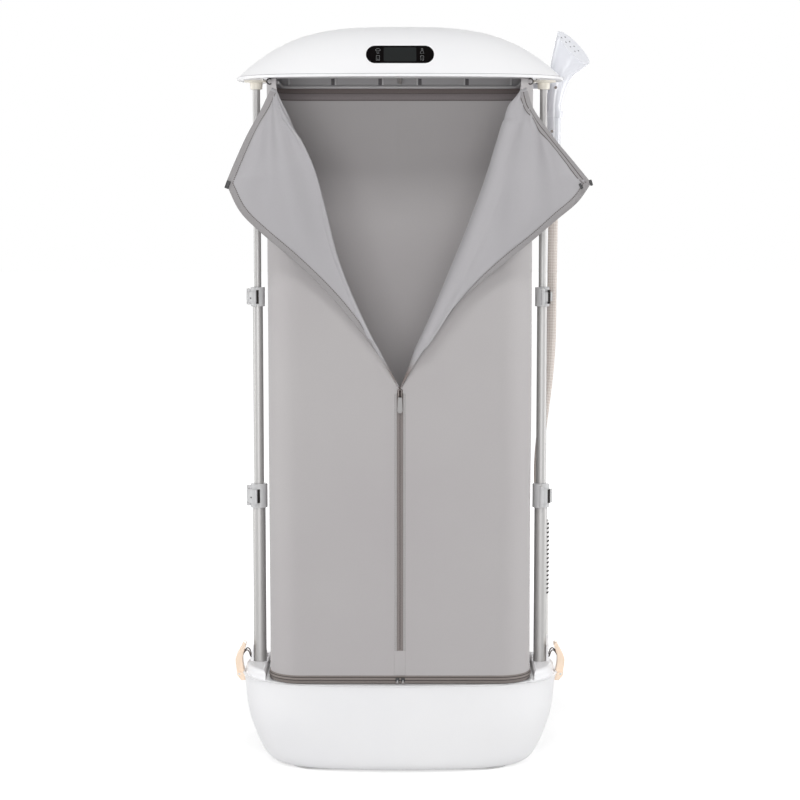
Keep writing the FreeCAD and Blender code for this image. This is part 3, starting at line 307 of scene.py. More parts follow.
# %% The finishes
white_shell = moulded("white_shell", (245, 245, 247), (249, 249, 250), 0.40, bump=0.03, mirror=0.15)
wand_white = moulded("wand_white", (228, 230, 236), (236, 237, 243), 0.26, coat=0.7, bump=0.01, mirror=0.3)
clamp_grey = moulded("clamp_grey", (194, 194, 195), (200, 200, 201), 0.42)
tray_grey = moulded("tray_grey", (160, 158, 160), (168, 166, 168), 0.5)
socket_cream = moulded("socket_cream", (234, 229, 216), (240, 235, 224), 0.4)
latch_peach = moulded("latch_peach", (249, 224, 200), (251, 231, 210), 0.34, coat=0.2)
black_lens = moulded("black_lens", (8, 6, 6), (12, 9, 9), 0.4, bump=0.0, mirror=0.01)
dark_screen = moulded("dark_screen", (38, 40, 40), (42, 44, 44), 0.4, bump=0.0, mirror=0.01)
black_plastic = moulded("black_plastic", (34, 34, 35), (44, 44, 45), 0.5)
floor_rubber = moulded("floor_rubber", (206, 206, 206), (216, 216, 216), 0.75, grain=400.0, bump=0.2)
tank_clear = moulded("tank_clear", (222, 228, 232), (230, 235, 238), 0.2)
circuit_green = moulded("circuit_green", (36, 92, 58), (46, 108, 70), 0.4, grain=300.0)
pole_metal = metal("pole_metal", (168, 167, 166), (180, 179, 178), 0.5, (6, 6, 0.05), share=0.48)
bright_steel = metal("bright_steel", (176, 174, 170), (196, 194, 190), 0.34, (1, 4, 1))
cast_alloy = metal("cast_alloy", (168, 168, 170), (186, 186, 188), 0.5, (1, 1, 1))
dark_steel = metal("dark_steel", (84, 78, 76), (104, 98, 96), 0.4, (1, 1, 1))
pull_grey = moulded("pull_grey", (158, 156, 156), (168, 166, 166), 0.5, mirror=0.3)
ring_black = moulded("ring_black", (32, 29, 28), (44, 40, 39), 0.6, mirror=0.1)

FINISH_OF = {
    white_shell: "base_tub base_deck tank_cap hose_socket head_dome head_floor",
    wand_white: "wand_body steam_plate wand_holder",
    clamp_grey: " ".join(f"{word}_{level}_clamp {word}_{level}_lever" for word in SIDES.values()
                         for level in ("lower", "upper")),
    tray_grey: "outlet_tray",
    socket_cream: "pole_sockets",
    latch_peach: "left_latch right_latch latch_brackets",
    black_lens: "display_lens",
    dark_screen: "display_screen",
    black_plastic: "water_pump mains_inlet mid_glides upper_glides blower_housing impeller",
    floor_rubber: "floor_pad",
    tank_clear: "water_tank",
    circuit_green: "relay_board control_board",
    pole_metal: " ".join(f"{word}_lower_tube {word}_mid_tube {word}_upper_tube" for word in SIDES.values()),
    bright_steel: "deck_screws head_screws latch_pins lower_lever_pins upper_lever_pins hanger_rail "
                  "steam_pipe blower_motor",
    cast_alloy: "steam_boiler heater",
    dark_steel: "zip_slider wand_screws",
}


def dress(mesh, material):
    mesh.materials.clear()
    mesh.materials.append(material)


for material, names in FINISH_OF.items():
    for name in names.split():
        dress(nodes[name].data, material)
print("dressed", sum(len(names.split()) for names in FINISH_OF.values()))

# %% [markdown]
# ## Bend guard
# The guard that keeps the hose from kinking is white rubber with a row of slits. The slits lie deeper than
# the ribs, and their shade is painted into the finish: it darkens with depth, measured as how far a point is
# from the guard's own axis.

# %% Guard finish
GUARD_AXIS, GUARD_R = (0.316, 0.046), 0.0145
SLIT_SHADE_DEEP, SLIT_SHADE_EDGE = GUARD_R - 0.0009, GUARD_R - 0.0005


def slit_shaded_rubber():
    material, tree, shader, source = fresh("slit_shaded_rubber")
    from_axis = mapped(tree, source, Location=(-GUARD_AXIS[0], -GUARD_AXIS[1], 0), Scale=(1, 1, 0))
    # painted shade: the colour goes near black inside the slits, where the ribs shade them
    out_of_shade = ranged(tree, distance_to(tree, from_axis), SLIT_SHADE_DEEP, SLIT_SHADE_EDGE)
    surface = placed_group(tree, GRAIN, source, Scale=700.0, Matt=0.6)
    colour = mixed(tree, out_of_shade, linear((38, 34, 33)), linear((236, 235, 233)))
    looks(tree, shader, colour, surface["Roughness"], (surface["Height"], 0.1, 0.0004))
    return material


dress(nodes["bend_guard"].data, slit_shaded_rubber())

# %% [markdown]
# ## Steam hose
# The hose leaves the guard on the base, leans out behind the pole and rises into the wand's handle. It is a
# fixed length of woven jacket over a tube, so it follows one smooth spline through the route of the
# engineering model.

# %% Tubes and wires
TUBE_ROUND, WIRE_ROUND, TUBE_STEPS = 10, 1, 24


def line_curve(name, points, radius, closed):
    """Curve along some points: smooth and open, or in straight steps and closed on itself."""
    curve = bpy.data.curves.new(name, "CURVE")
    curve.dimensions = "3D"
    spline = curve.splines.new("POLY" if closed else "NURBS")
    spline.points.add(len(points) - 1)
    for knot, place in zip(spline.points, points):
        knot.co = (*place, 1)
    spline.order_u = 3
    spline.use_endpoint_u = True
    spline.resolution_u = TUBE_STEPS
    spline.use_cyclic_u = closed
    curve.bevel_depth = radius
    curve.bevel_resolution = WIRE_ROUND if closed else TUBE_ROUND
    curve.use_fill_caps = radius > 0
    return bpy.data.objects.new(name, curve)


def mesh_along(name, points, radius, closed=False):
    """Mesh of a round tube along some points, or of their line alone where the radius is zero."""
    line = line_curve(name, points, radius, closed)
    scene.collection.objects.link(line)
    bpy.context.view_layer.update()
    seen = line.evaluated_get(bpy.context.evaluated_depsgraph_get())
    mesh = bpy.data.meshes.new_from_object(seen)
    bpy.data.objects.remove(line)
    return mesh


def tube(name, points, radius, material, closed=False):
    made = bpy.data.objects.new(name, mesh_along(name, points, radius, closed))
    scene.collection.objects.link(made)
    if not closed:
        made.data.shade_smooth()
    dress(made.data, material)
    return made


HOSE_R = 0.0105
HOSE_ROUTE = [(0.339, 0.098, 1.330), (0.339, 0.098, 1.220), (0.337, 0.092, 1.050), (0.336, 0.084, 0.880),
              (0.311, 0.068, 0.700), (0.306, 0.056, 0.610), (0.316, 0.046, 0.530), (0.316, 0.046, 0.440)]
hose_path = [v.co.copy() for v in mesh_along("hose_line", HOSE_ROUTE, 0).vertices]
hose_length = sum((b - a).length for a, b in zip(hose_path, hose_path[1:]))
print("hose length", round(hose_length, 3), "path points", len(hose_path))

# %% Hose and its jacket
def braid_jacket():
    """Cream braid with small dark picks set on a slanting grid, read from the hose's own UV map."""
    material, tree, shader, source = fresh("braid_jacket", "UV")
    metres = mapped(tree, source, Scale=(hose_length, 2 * math.pi * HOSE_R, 1))
    weave = placed_group(tree, WEAVE, metres, Threads=420.0)
    slanted = mapped(tree, metres, Rotation=(0, 0, math.radians(45)))
    picks = add_node(tree, "TexChecker", {"Vector": slanted, "Scale": 260.0}).outputs["Fac"]
    base = mixed(tree, weave["Shade"], linear((226, 216, 208)), linear((240, 234, 229)))
    braid = mixed(tree, maths(tree, "MULTIPLY", picks, 0.35), base, linear((186, 168, 158)))
    looks(tree, shader, braid, 0.85, (weave["Height"], 0.35, 0.0008))
    return material


hose = tube("hose_jacket", HOSE_ROUTE, HOSE_R, braid_jacket())
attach(hose, "base")
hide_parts("steam_hose")
print("hose points", len(hose.data.vertices), "uv maps", [u.name for u in hose.data.uv_layers])

# %% [markdown]
# ## Cover: the shape of the cloth
# The cover is one sheet sewn into an upright box with round corners. Its front is open as a V: each front
# corner is folded out over a soft roll. To build it, every point of the box is named by its distance along
# the cloth from the middle of the front, and by its height. The fold line is drawn in those two numbers.

# %% Cover measures
COVER_X, COVER_Y, COVER_ROUND = 0.2815, 0.1365, 0.070
COVER_FOOT, COVER_TOP = 0.2005, 1.4845
HALF_FRONT, HALF_SIDE = COVER_X - COVER_ROUND, COVER_Y - COVER_ROUND
ARC = COVER_ROUND * math.pi / 2
HALF_ROUND = 2 * HALF_FRONT + 2 * ARC + 2 * HALF_SIDE


def box_point(side, along, offset=0.0):
    """Place and outward direction on the box outline, by distance along the cloth from the front's middle."""
    facing = -1 if along <= HALF_ROUND / 2 else 1
    run = max(0.0, along if facing < 0 else HALF_ROUND - along)
    turn = min(max(0.0, run - HALF_FRONT) / COVER_ROUND, math.pi / 2)
    nx, ny = math.sin(turn), facing * math.cos(turn)
    x = min(run, HALF_FRONT) + (COVER_ROUND + offset) * nx
    y = facing * (HALF_SIDE - max(0.0, run - HALF_FRONT - ARC)) + (COVER_ROUND + offset) * ny
    return Vector((side * x, y, 0)), Vector((side * nx, ny, 0))


print("half round", round(HALF_ROUND, 3))

# %% Smooth curves through points
CURVE_STEPS = 24


def dense_curve(points):
    """Many points on a smooth curve that passes through a few given ones."""
    padded = [2 * points[0] - points[1]] + points + [2 * points[-1] - points[-2]]
    dense = []
    for a, b, c, d in zip(padded, padded[1:], padded[2:], padded[3:]):
        for step in range(CURVE_STEPS):
            t = step / CURVE_STEPS
            dense.append(0.5 * (2 * b + (c - a) * t + (2 * a - 5 * b + 4 * c - d) * t ** 2
                                + (3 * b - a - 3 * c + d) * t ** 3))
    return dense + [points[-1]]


def curve_through(points, samples):
    """Evenly spaced points on a smooth curve through a few given points."""
    dense = dense_curve([Vector(p) for p in points])
    lengths = [0.0]
    for a, b in zip(dense, dense[1:]):
        lengths.append(lengths[-1] + (b - a).length)
    result, index = [], 0
    for step in range(samples):
        target = lengths[-1] * step / (samples - 1)
        while index < len(dense) - 2 and lengths[index + 1] < target:
            index += 1
        share = (target - lengths[index]) / max(lengths[index + 1] - lengths[index], 1e-9)
        result.append(dense[index].lerp(dense[index + 1], min(1.0, share)))
    return result


print("steps between points", CURVE_STEPS)

# %% Fold lines
OPEN_FOOT, OPEN_TOP = 0.834, 1.462
FOLD_POINTS = {
    -1: [(0.0, OPEN_FOOT), (0.068, 0.966), (0.125, 1.102), (0.160, 1.223), (0.185, 1.306), (0.217, 1.378),
         (0.264, OPEN_TOP)],
    1: [(0.0, OPEN_FOOT), (0.064, 0.956), (0.127, 1.104), (0.163, 1.195), (0.190, 1.270), (0.207, 1.341),
        (0.226, 1.405), (0.256, OPEN_TOP)]}
FOLD_SAMPLES = 120
ROLL_R, ROLL_LEAST = 0.0135, 0.0004
ROLL_SWELL = {-1: 0.004, 1: 0.020}


def roll_radius(side, share):
    """Radius of the soft roll along the fold, from foot to top: wide on the right, tighter on the left."""
    swell = max(0.0, math.sin(math.pi * min(1.0, share / 1.15)) - 0.25) / 0.75
    taper = min(1.0, 6 * share, 9 * (1 - share))
    return (ROLL_R + ROLL_SWELL[side] * swell) * taper + ROLL_LEAST


def fold_line(side):
    """Fold drawn as it is seen; where the roll is wide the cloth leaves the box further out."""
    line = []
    for index, point in enumerate(curve_through(FOLD_POINTS[side], FOLD_SAMPLES)):
        wider = max(0.0, roll_radius(side, index / (FOLD_SAMPLES - 1)) - ROLL_R)
        line.append(Vector((point.x + wider, point.y)))
    return line


def fold_at(line, height):
    """Distance of the fold line from the middle of the front at a height, zero below the opening."""
    if height <= line[0].y:
        return 0.0
    for a, b in zip(line, line[1:]):
        if height <= b.y:
            return a.x + (b.x - a.x) * (height - a.y) / (b.y - a.y)
    return line[-1].x


fold_lines = {side: fold_line(side) for side in SIDES}
print("fold at 1.2 m", round(fold_at(fold_lines[-1], 1.2), 3))

# %% [markdown]
# ## Tools for modelling
# Each piece starts as a few points. It is opened in edit mode, worked on, closed again and given its
# modifiers, which are applied at once.

# %% Modelling tools
WELD = 0.00002


def only(target):
    bpy.ops.object.select_all(action="DESELECT")
    target.select_set(True)
    bpy.context.view_layer.objects.active = target


def open_edit(target):
    """Open a piece in edit mode with all of it selected."""
    only(target)
    bpy.ops.object.mode_set(mode="EDIT")
    bpy.ops.mesh.select_all(action="SELECT")


def close_edit():
    bpy.ops.object.mode_set(mode="OBJECT")


def smooth_sides(target, degrees=40):
    """Smooth shading that stays sharp at edges over the given angle."""
    only(target)
    bpy.ops.object.shade_smooth_by_angle(angle=math.radians(degrees))


def modified(target, kind, **settings):
    """Add a modifier, set it and apply it."""
    only(target)
    added = target.modifiers.new(kind.lower(), kind)
    for name, value in settings.items():
        setattr(added, name, value)
    bpy.ops.object.modifier_apply(modifier=added.name)


def repeated(target, step, count):
    """Copies of a piece in a row, joined in one mesh."""
    modified(target, "ARRAY", use_relative_offset=False, use_constant_offset=True,
             constant_offset_displace=step, count=count)


def new_piece(name, points, edges, faces):
    mesh = bpy.data.meshes.new(name)
    mesh.from_pydata(points, edges, faces)
    made = bpy.data.objects.new(name, mesh)
    scene.collection.objects.link(made)
    return made


def carried(body, slot, *pieces):
    """Pieces that ride on a body. The slot argument is not used."""
    for piece in pieces:
        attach(piece, body)


print("modelling tools", 8)

# %% Sheet builder
def grid_faces(rows, columns):
    corners = [r * columns + c for r in range(rows - 1) for c in range(columns - 1)]
    return [(k, k + 1, k + columns + 1, k + columns) for k in corners]


def sheet_object(name, grid, uvs):
    """Mesh sheet from rows of points, with its cloth coordinates in metres as a UV map."""
    made = new_piece(name, [p for row in grid for p in row], [], grid_faces(len(grid), len(grid[0])))
    flat_uvs = [uv for row in uvs for uv in row]
    layer = made.data.uv_layers.new(name="cloth")
    for loop in made.data.loops:
        layer.data[loop.index].uv = flat_uvs[loop.vertex_index]
    made.data.shade_smooth()
    return made


def thicken(target, thickness):
    """Weld doubled points and give the cloth its thickness, half to each side."""
    open_edit(target)
    bpy.ops.mesh.remove_doubles(threshold=WELD)
    close_edit()
    modified(target, "SOLIDIFY", thickness=thickness, offset=0.0)


print("sheet of 3 by 4 points has", len(grid_faces(3, 4)), "faces")

# %% Cover body
BODY_ROWS, BODY_COLUMNS = 96, 250
CLOTH_THICK = 0.0012
SWELL_DEEP, RIPPLE_DEEP = 0.0022, 0.0008
FOOT_HOLD, TOP_HOLD, ZIP_STILL, ZIP_HOLD = 0.12, 0.08, 0.02, 0.06


def slack(side, along, height):
    """How far the cloth stands out or in: broad soft swells, nothing at its sewn ends or at the front zip."""
    hold = min(1.0, (height - COVER_FOOT) / FOOT_HOLD, (COVER_TOP - height) / TOP_HOLD,
               max(0.0, along - ZIP_STILL) / ZIP_HOLD)
    swell = noise.noise(Vector((side * along * 5.5, height * 1.3, 4.0 + side)))
    ripple = noise.noise(Vector((side * along * 14, height * 2.2, 9.0)))
    return max(0.0, hold) * (SWELL_DEEP * swell + RIPPLE_DEEP * ripple)


def body_row(height):
    """One row round the box: from the fold on the right, behind, to the fold on the left."""
    places, uvs = [], []
    half = BODY_COLUMNS // 2
    for column in range(BODY_COLUMNS + 1):
        side = 1 if column <= half else -1
        share = column / half if side > 0 else (BODY_COLUMNS - column) / half
        start = fold_at(fold_lines[side], height)
        along = start + (HALF_ROUND - start) * share
        place = box_point(side, along, slack(side, along, height))[0]
        places.append(Vector((place.x, place.y, height)))
        uvs.append((along if side > 0 else 2 * HALF_ROUND - along, height))
    return places, uvs


heights = [COVER_FOOT + (COVER_TOP - COVER_FOOT) * r / BODY_ROWS for r in range(BODY_ROWS + 1)]
made_rows = [body_row(h) for h in heights]
cover = sheet_object("cover_body", [r[0] for r in made_rows], [r[1] for r in made_rows])
thicken(cover, CLOTH_THICK)
print("cover faces", len(cover.data.polygons))

# %% [markdown]
# ## Cover: turned-back corners
# Each front corner leaves the fold over a soft roll and runs out to its free edge. The edge is drawn in two
# runs, from the foot of the opening to the tip and from the tip up to the head.

# %% Rows of the corners
EDGE_FOOT = (0, -0.1395, OPEN_FOOT)
TIP = {-1: (-0.356, -0.225, 1.266), 1: (0.391, -0.225, 1.266)}
EDGE_LOW = {
    -1: [EDGE_FOOT, (-0.032, -0.147, 0.890), (-0.126, -0.160, 1.011), (-0.208, -0.175, 1.096),
         (-0.286, -0.195, 1.164), (-0.329, -0.212, 1.209), TIP[-1]],
    1: [EDGE_FOOT, (0.052, -0.150, 0.926), (0.126, -0.162, 1.023), (0.224, -0.177, 1.107),
        (0.271, -0.187, 1.146), (0.325, -0.200, 1.193), (0.365, -0.212, 1.228), TIP[1]]}
EDGE_TOP = {
    -1: [TIP[-1], (-0.338, -0.198, 1.314), (-0.315, -0.170, 1.368), (-0.289, -0.145, 1.418),
         (-0.268, -0.123, 1.466)],
    1: [TIP[1], (0.352, -0.200, 1.316), (0.325, -0.182, 1.350), (0.299, -0.165, 1.386),
        (0.275, -0.145, 1.424), (0.264, -0.125, 1.466)]}
LOW_ROWS, TOP_ROWS, ROLL_STEPS, RUN_STEPS = 84, 30, 10, 34
TIP_SHARE, EDGE_PULL = 0.77, 0.9
FAN_X, FAN_DEEP, FAN_FOLDS, FAN_SHIFT = 0.266, 0.0065, 14, 0.7
RUFFLE_DEEP, RUFFLE_FINE = 0.003, 9.0
FAN_REACH, RUFFLE_REACH = 0.12, 0.05


def flap_frame(side, share):
    """Start of the fold on the body and the directions of its section."""
    line = fold_lines[side]
    position = share * (len(line) - 1)
    index = min(int(position), len(line) - 2)
    here = line[index].lerp(line[index + 1], position - index)
    ahead = (line[index + 1] - line[index]).normalized()
    place, outward = box_point(side, here.x)
    level = Vector((-outward.y, outward.x, 0))
    across = (level * ahead.y - Vector((0, 0, ahead.x))).normalized()
    return Vector((place.x, place.y, here.y)), outward, across


def flap_wave(side, place, t, reach):
    """Soft folds that fan out from the top corner, strongest in mid flap, and a slight ruffle."""
    corner = Vector((side * FAN_X, 0, OPEN_TOP))
    fan = math.atan2(place.x - corner.x, corner.z - place.z)
    strength = FAN_DEEP * math.sin(math.pi * t) * min(1.0, reach / FAN_REACH)
    ruffle = RUFFLE_DEEP * noise.noise(place * RUFFLE_FINE) * (1 - t) * min(1.0, reach / RUFFLE_REACH)
    return strength * math.sin(fan * FAN_FOLDS + side * FAN_SHIFT) + ruffle


def flap_row(side, share, edge):
    """One strip of cloth from the body round the roll and out to the edge."""
    start, outward, across = flap_frame(side, share)
    radius = roll_radius(side, share)
    centre = start + outward * radius
    row = []
    for step in range(ROLL_STEPS + 1):
        turn = math.pi * step / ROLL_STEPS
        row.append(centre - outward * (radius * math.cos(turn)) - across * (radius * math.sin(turn)))
    leave = row[-1]
    reach = (edge - leave).length
    pull_out = across * (EDGE_PULL * reach)
    pull_in = (edge - leave) * EDGE_PULL
    for step in range(1, RUN_STEPS + 1):
        t = step / RUN_STEPS
        near, far = 2 * t ** 3 - 3 * t ** 2 + 1, 3 * t ** 2 - 2 * t ** 3
        out, back = t ** 3 - 2 * t ** 2 + t, t ** 3 - t ** 2
        place = leave * near + pull_out * out + edge * far + pull_in * back
        row.append(place + outward * flap_wave(side, place, t, reach))
    return row


def flap_rows(side):
    """All strips of one corner, from the foot of the opening to the tip and on up to the head."""
    edge = curve_through(EDGE_LOW[side], LOW_ROWS + 1) + curve_through(EDGE_TOP[side], TOP_ROWS + 1)[1:]
    shares = [TIP_SHARE * k / LOW_ROWS for k in range(LOW_ROWS + 1)]
    shares += [TIP_SHARE + (1 - TIP_SHARE) * k / TOP_ROWS for k in range(1, TOP_ROWS + 1)]
    return [flap_row(side, share, place) for share, place in zip(shares, edge)]


flap_grids = {side: flap_rows(side) for side in SIDES}
print("strips per corner", len(flap_grids[1]))

# %% Turned-back corners
def cloth_lengths(rows):
    """Cloth coordinates: distance along the first column, and distance across each row."""
    uvs, travelled = [], 0.0
    for index, row in enumerate(rows):
        if index:
            travelled += (row[0] - rows[index - 1][0]).length
        across, here = 0.0, []
        for k, place in enumerate(row):
            if k:
                across += (place - row[k - 1]).length
            here.append((across, travelled))
        uvs.append(here)
    return uvs


flaps = {}
for side, word in SIDES.items():
    flaps[side] = sheet_object(f"{word}_turned_corner", flap_grids[side], cloth_lengths(flap_grids[side]))
    thicken(flaps[side], CLOTH_THICK)
    print(word, "corner faces", len(flaps[side].data.polygons))

# %% [markdown]
# ## Cover: cloth finish
# The cover is a smooth grey polyester. From a step away it is an even grey with a soft sheen, and close up
# a plain weave shows. The inside of the cloth is the same grey, a little cooler.

# %% Cloth finish
TAPE_FULL, TAPE_GONE, TAPE_TONE = 0.031, 0.080, (128, 118, 115)


def split(tree, source):
    return add_node(tree, "SeparateXYZ", {"Vector": source}).outputs


def tape_at_foot(tree, run, colour):
    """Towards the foot of the opening a corner is no wider than the zip tape, so it takes its tone."""
    fade = ranged(tree, run, TAPE_GONE, TAPE_FULL, interpolation_type="SMOOTHSTEP")
    return mixed(tree, fade, colour, linear(TAPE_TONE))


def cover_cloth(name, colour, drift, tape=False):
    material, tree, shader, source = fresh(name, "UV")
    place = add_node(tree, "TexCoord", {}).outputs["Object"]
    weave = placed_group(tree, WEAVE, source, Threads=1100.0)
    tone = placed_group(tree, TONE, place, Scale=2.4)
    base = mixed(tree, tone["Tone"], linear(colour), linear(drift))
    woven = mixed(tree, maths(tree, "MULTIPLY", weave["Shade"], 0.22), base, darkened(colour, 0.82))
    if tape:
        woven = tape_at_foot(tree, split(tree, source)["Y"], woven)
    looks(tree, shader, woven, 0.78, (weave["Height"], 0.18, 0.0005), sheen=0.35, sheen_matt=0.3)
    return material


grey_cloth = cover_cloth("grey_cloth", (183, 179, 180), (188, 185, 185))
lining_cloth = cover_cloth("lining_cloth", (176, 174, 177), (182, 180, 183), tape=True)
for piece, node in ((cover, "bag_cover"), (flaps[-1], "left_flap"), (flaps[1], "right_flap")):
    piece.data.materials.append(grey_cloth if piece is cover else lining_cloth)
    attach(piece, "base")
    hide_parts(node)
print("cloth pieces", 3)

# %% [markdown]
# ## Ribbons and zip tapes
# Every raw edge of the cover is bound with a ribbon that is darker than the cloth, and stitching runs
# beside its inner edge. The same finish serves the zip tapes and the bands inside the top: a weave with
# dark lines at given distances from the edge, broken into stitches where they are sewn.

# %% Ribbon finish
ZIP_HALF, PLEAT_WIDE = 0.0064, 0.0056


def ribbon(name, colour, lines, line_colour, stitch=0.0):
    """Woven tape; each line is its distance from the edge and its half width, in metres of the UV map."""
    material, tree, shader, source = fresh(name, "UV")
    parts = split(tree, source)
    weave = placed_group(tree, WEAVE, source, Threads=700.0)
    mask = 0.0
    for centre, half in lines:
        gap = maths(tree, "ABSOLUTE", maths(tree, "SUBTRACT", parts["X"], centre))
        mask = maths(tree, "MAXIMUM", mask, maths(tree, "LESS_THAN", gap, half))
    if stitch:
        wave = maths(tree, "SINE", maths(tree, "MULTIPLY", parts["Y"], 2 * math.pi / stitch))
        mask = maths(tree, "MULTIPLY", mask, maths(tree, "GREATER_THAN", wave, -0.4))
    base = mixed(tree, weave["Shade"], linear(colour), darkened(colour, 0.8))
    looks(tree, shader, mixed(tree, mask, base, linear(line_colour)), 0.8, (weave["Height"], 0.25, 0.0005))
    return material


edge_tape = ribbon("edge_tape", (164, 161, 162), [(0.0122, 0.0009)], (96, 90, 90), stitch=0.0042)
wide_tape = ribbon("wide_tape", (164, 161, 162), [(0.0095, 0.0010), (0.0176, 0.0010)], (96, 90, 90))
zip_cloth = ribbon("zip_cloth", (146, 138, 136), [(0.0, 0.0007), (2 * ZIP_HALF, 0.0007)], (96, 90, 88))
hem_cloth = ribbon("hem_cloth", (140, 132, 128), [(0.0075, 0.0011), (0.0135, 0.0010)], (66, 60, 58))
band_cloth = ribbon("band_cloth", (146, 138, 139), [(0.0015, 0.0009), (0.0158, 0.0008)], (92, 84, 84),
                    stitch=0.006)
# darker tone: partly the mauve tape, partly painted shade under the head
dark_band = ribbon("dark_band", (124, 114, 112), [(0.0, 0.0006)], (84, 76, 74))
pleat_cloth = ribbon("pleat_cloth", (180, 177, 177), [(0.8 * PLEAT_WIDE, 0.0005)], (156, 152, 152),
                     stitch=0.0045)
print("ribbons", 7)

# %% [markdown]
# ## Binding of the opening
# A ribbon is folded over the edge of each turned-back corner. One runs from the foot of the opening out to
# the tip, one from the tip up to the head. Each is laid on the cloth by asking for the nearest point of the
# cloth under it.

# %% Edge bindings
TAPE_WIDE, TOP_TAPE_WIDE, TAPE_LIFT = 0.0136, 0.0190, 0.0013
TAPE_START, EASE_ROWS, INNER_COLUMN, MOST_COVERED = 1, 4, -6, 0.8
TAPE_SECTION = ((1, 1), (0.7, 1), (0.35, 1), (0.03, 1), (-0.07, 0), (0.03, -1), (0.35, -1), (1, -1))
soft_trim = []
flap_trim = {-1: [], 1: []}


def cloth_tree(rows):
    return BVHTree.FromPolygons([p for row in rows for p in row], grid_faces(len(rows), len(rows[0])))


def tape_frames(rows, tree):
    """Per row the direction out of the cloth and in from its edge, eased over the neighbouring rows."""
    edge = [row[-1] for row in rows]
    raw = []
    for index, place in enumerate(edge):
        ahead = (edge[min(index + 1, len(edge) - 1)] - edge[max(index - 1, 0)]).normalized()
        inner = rows[index][INNER_COLUMN]
        normal = tree.find_nearest(place.lerp(inner, 0.3))[1]
        normal = -normal if normal.y > 0 else normal
        inward = normal.cross(ahead).normalized()
        raw.append((normal, -inward if inward.dot(inner - place) < 0 else inward))
    eased = []
    for index in range(len(raw)):
        near = raw[max(index - EASE_ROWS, 0):index + EASE_ROWS + 1]
        eased.append([sum((pair[k] for pair in near), Vector()).normalized() for k in (0, 1)])
    return eased


def binding(name, rows, tree, wide):
    """Ribbon folded over the outer edge of a run of cloth rows: front face, round the edge, back face."""
    grid, uvs, travelled, before = [], [], 0.0, rows[0][-1]
    for cloth, (normal, inward) in zip(rows, tape_frames(rows, tree)):
        place = cloth[-1]
        width = min(wide, MOST_COVERED * (place - cloth[0]).length)
        travelled += (place - before).length
        before = place
        row = []
        for share, face in TAPE_SECTION:
            spot = place + inward * (share * width)
            if share > 0:
                spot = tree.find_nearest(spot)[0]
            row.append(spot + normal * (TAPE_LIFT * face))
        grid.append(row)
        uvs.append([(max(share, 0) * width, travelled) for share, _ in TAPE_SECTION])
    return sheet_object(name, grid, uvs)


for side, word in SIDES.items():
    rows = flap_grids[side]
    tree = cloth_tree(rows)
    top_wide = TOP_TAPE_WIDE if side > 0 else TAPE_WIDE
    runs = (("lower", rows[TAPE_START:LOW_ROWS + 1], TAPE_WIDE), ("upper", rows[LOW_ROWS:-1], top_wide))
    for part, run, wide in runs:
        tape = binding(f"{word}_{part}_binding", run, tree, wide)
        tape.data.materials.append(wide_tape if wide > TAPE_WIDE else edge_tape)
        soft_trim.append(tape)
        flap_trim[side].append(tape)
print("bindings", [t.name for t in soft_trim])

# %% [markdown]
# ## Zip ends on the tips
# Where the two bindings meet, the open zip ends in small black pieces: a starting box on the left and a pin
# and its stop on the right. Each is a block with rounded edges.

# %% Zip ends
END_Y = -0.0030


def soft_block(name, place, size, material, round_by=0.0012, lean=0.0):
    """Small moulded block: a cube is sized, rounded on its edges and leaned about the y axis."""
    bpy.ops.mesh.primitive_cube_add(size=1, location=(0, 0, 0))
    made = bpy.context.object
    made.name = name
    made.data.name = name
    open_edit(made)
    bpy.ops.transform.resize(value=size)
    bpy.ops.mesh.bevel(offset=round_by, segments=2, affect="EDGES")
    close_edit()
    made.data.transform(Matrix.Translation(place) @ Matrix.Rotation(lean, 4, "Y"))
    smooth_sides(made)
    made.data.materials.append(material)
    return made


tips = {side: flap_grids[side][LOW_ROWS][-1] for side in SIDES}
for name, side, shift, size, lean in (
        ("left_zip_box", -1, (0.0030, END_Y, -0.0030), (0.0085, 0.0050, 0.0165), 0.35),
        ("right_zip_pin", 1, (-0.0205, END_Y, -0.0060), (0.0055, 0.0048, 0.0120), -0.45),
        ("right_zip_stop", 1, (0.0000, END_Y, 0.0010), (0.0055, 0.0048, 0.0125), -0.30)):
    end = soft_block(name, tips[side] + Vector(shift), size, black_plastic, lean=lean)
    soft_trim.append(end)
    flap_trim[side].append(end)
print("tips", [[round(v, 3) for v in tips[side]] for side in SIDES])

# %% [markdown]
# ## Front zip
# Below the opening the front is closed by a zip: a tape with two rows of teeth, a folded edge of cloth on
# each side and a stitched patch that ends it at the foot. One pair of teeth is modelled and repeated up the
# tape.

# %% Zip tape and folds
ZIP_FOOT, ZIP_TOP, STRIP_STEPS = 0.271, 0.826, 60
TAPE_PLACES = [(-ZIP_HALF, 0.0012), (-0.0025, 0.0014), (0.0025, 0.0014), (ZIP_HALF, 0.0012)]
PLEAT_SECTION = ((0, 0.0010), (0, 0.0021), (0.3, 0.0024), (0.85, 0.0018), (1, 0.0003))


def on_front(x, lift, z):
    """Place in front of the cover, by its lift off the cloth."""
    return Vector((x, -COVER_Y - lift, z))


def upright_strip(name, low, high, places):
    """Strip on the front of the cover; each place is a distance from the middle and a lift off the cloth."""
    heights = [low + (high - low) * step / STRIP_STEPS for step in range(STRIP_STEPS + 1)]
    grid = [[on_front(x, lift, z) for x, lift in places] for z in heights]
    uvs = [[(abs(x - places[0][0]), z) for x, lift in places] for z in heights]
    return sheet_object(name, grid, uvs)


tape = upright_strip("front_zip_tape", ZIP_FOOT, ZIP_TOP, TAPE_PLACES)
tape.data.materials.append(zip_cloth)
pleats = []
for side, word in SIDES.items():
    section = [(side * (ZIP_HALF + PLEAT_WIDE * share), lift) for share, lift in PLEAT_SECTION]
    pleat = upright_strip(f"{word}_zip_fold", ZIP_FOOT, ZIP_TOP - 0.002, section)
    pleat.data.materials.append(pleat_cloth)
    pleats.append(pleat)
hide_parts("front_zip")
print("zip", tape.name, [p.name for p in pleats])

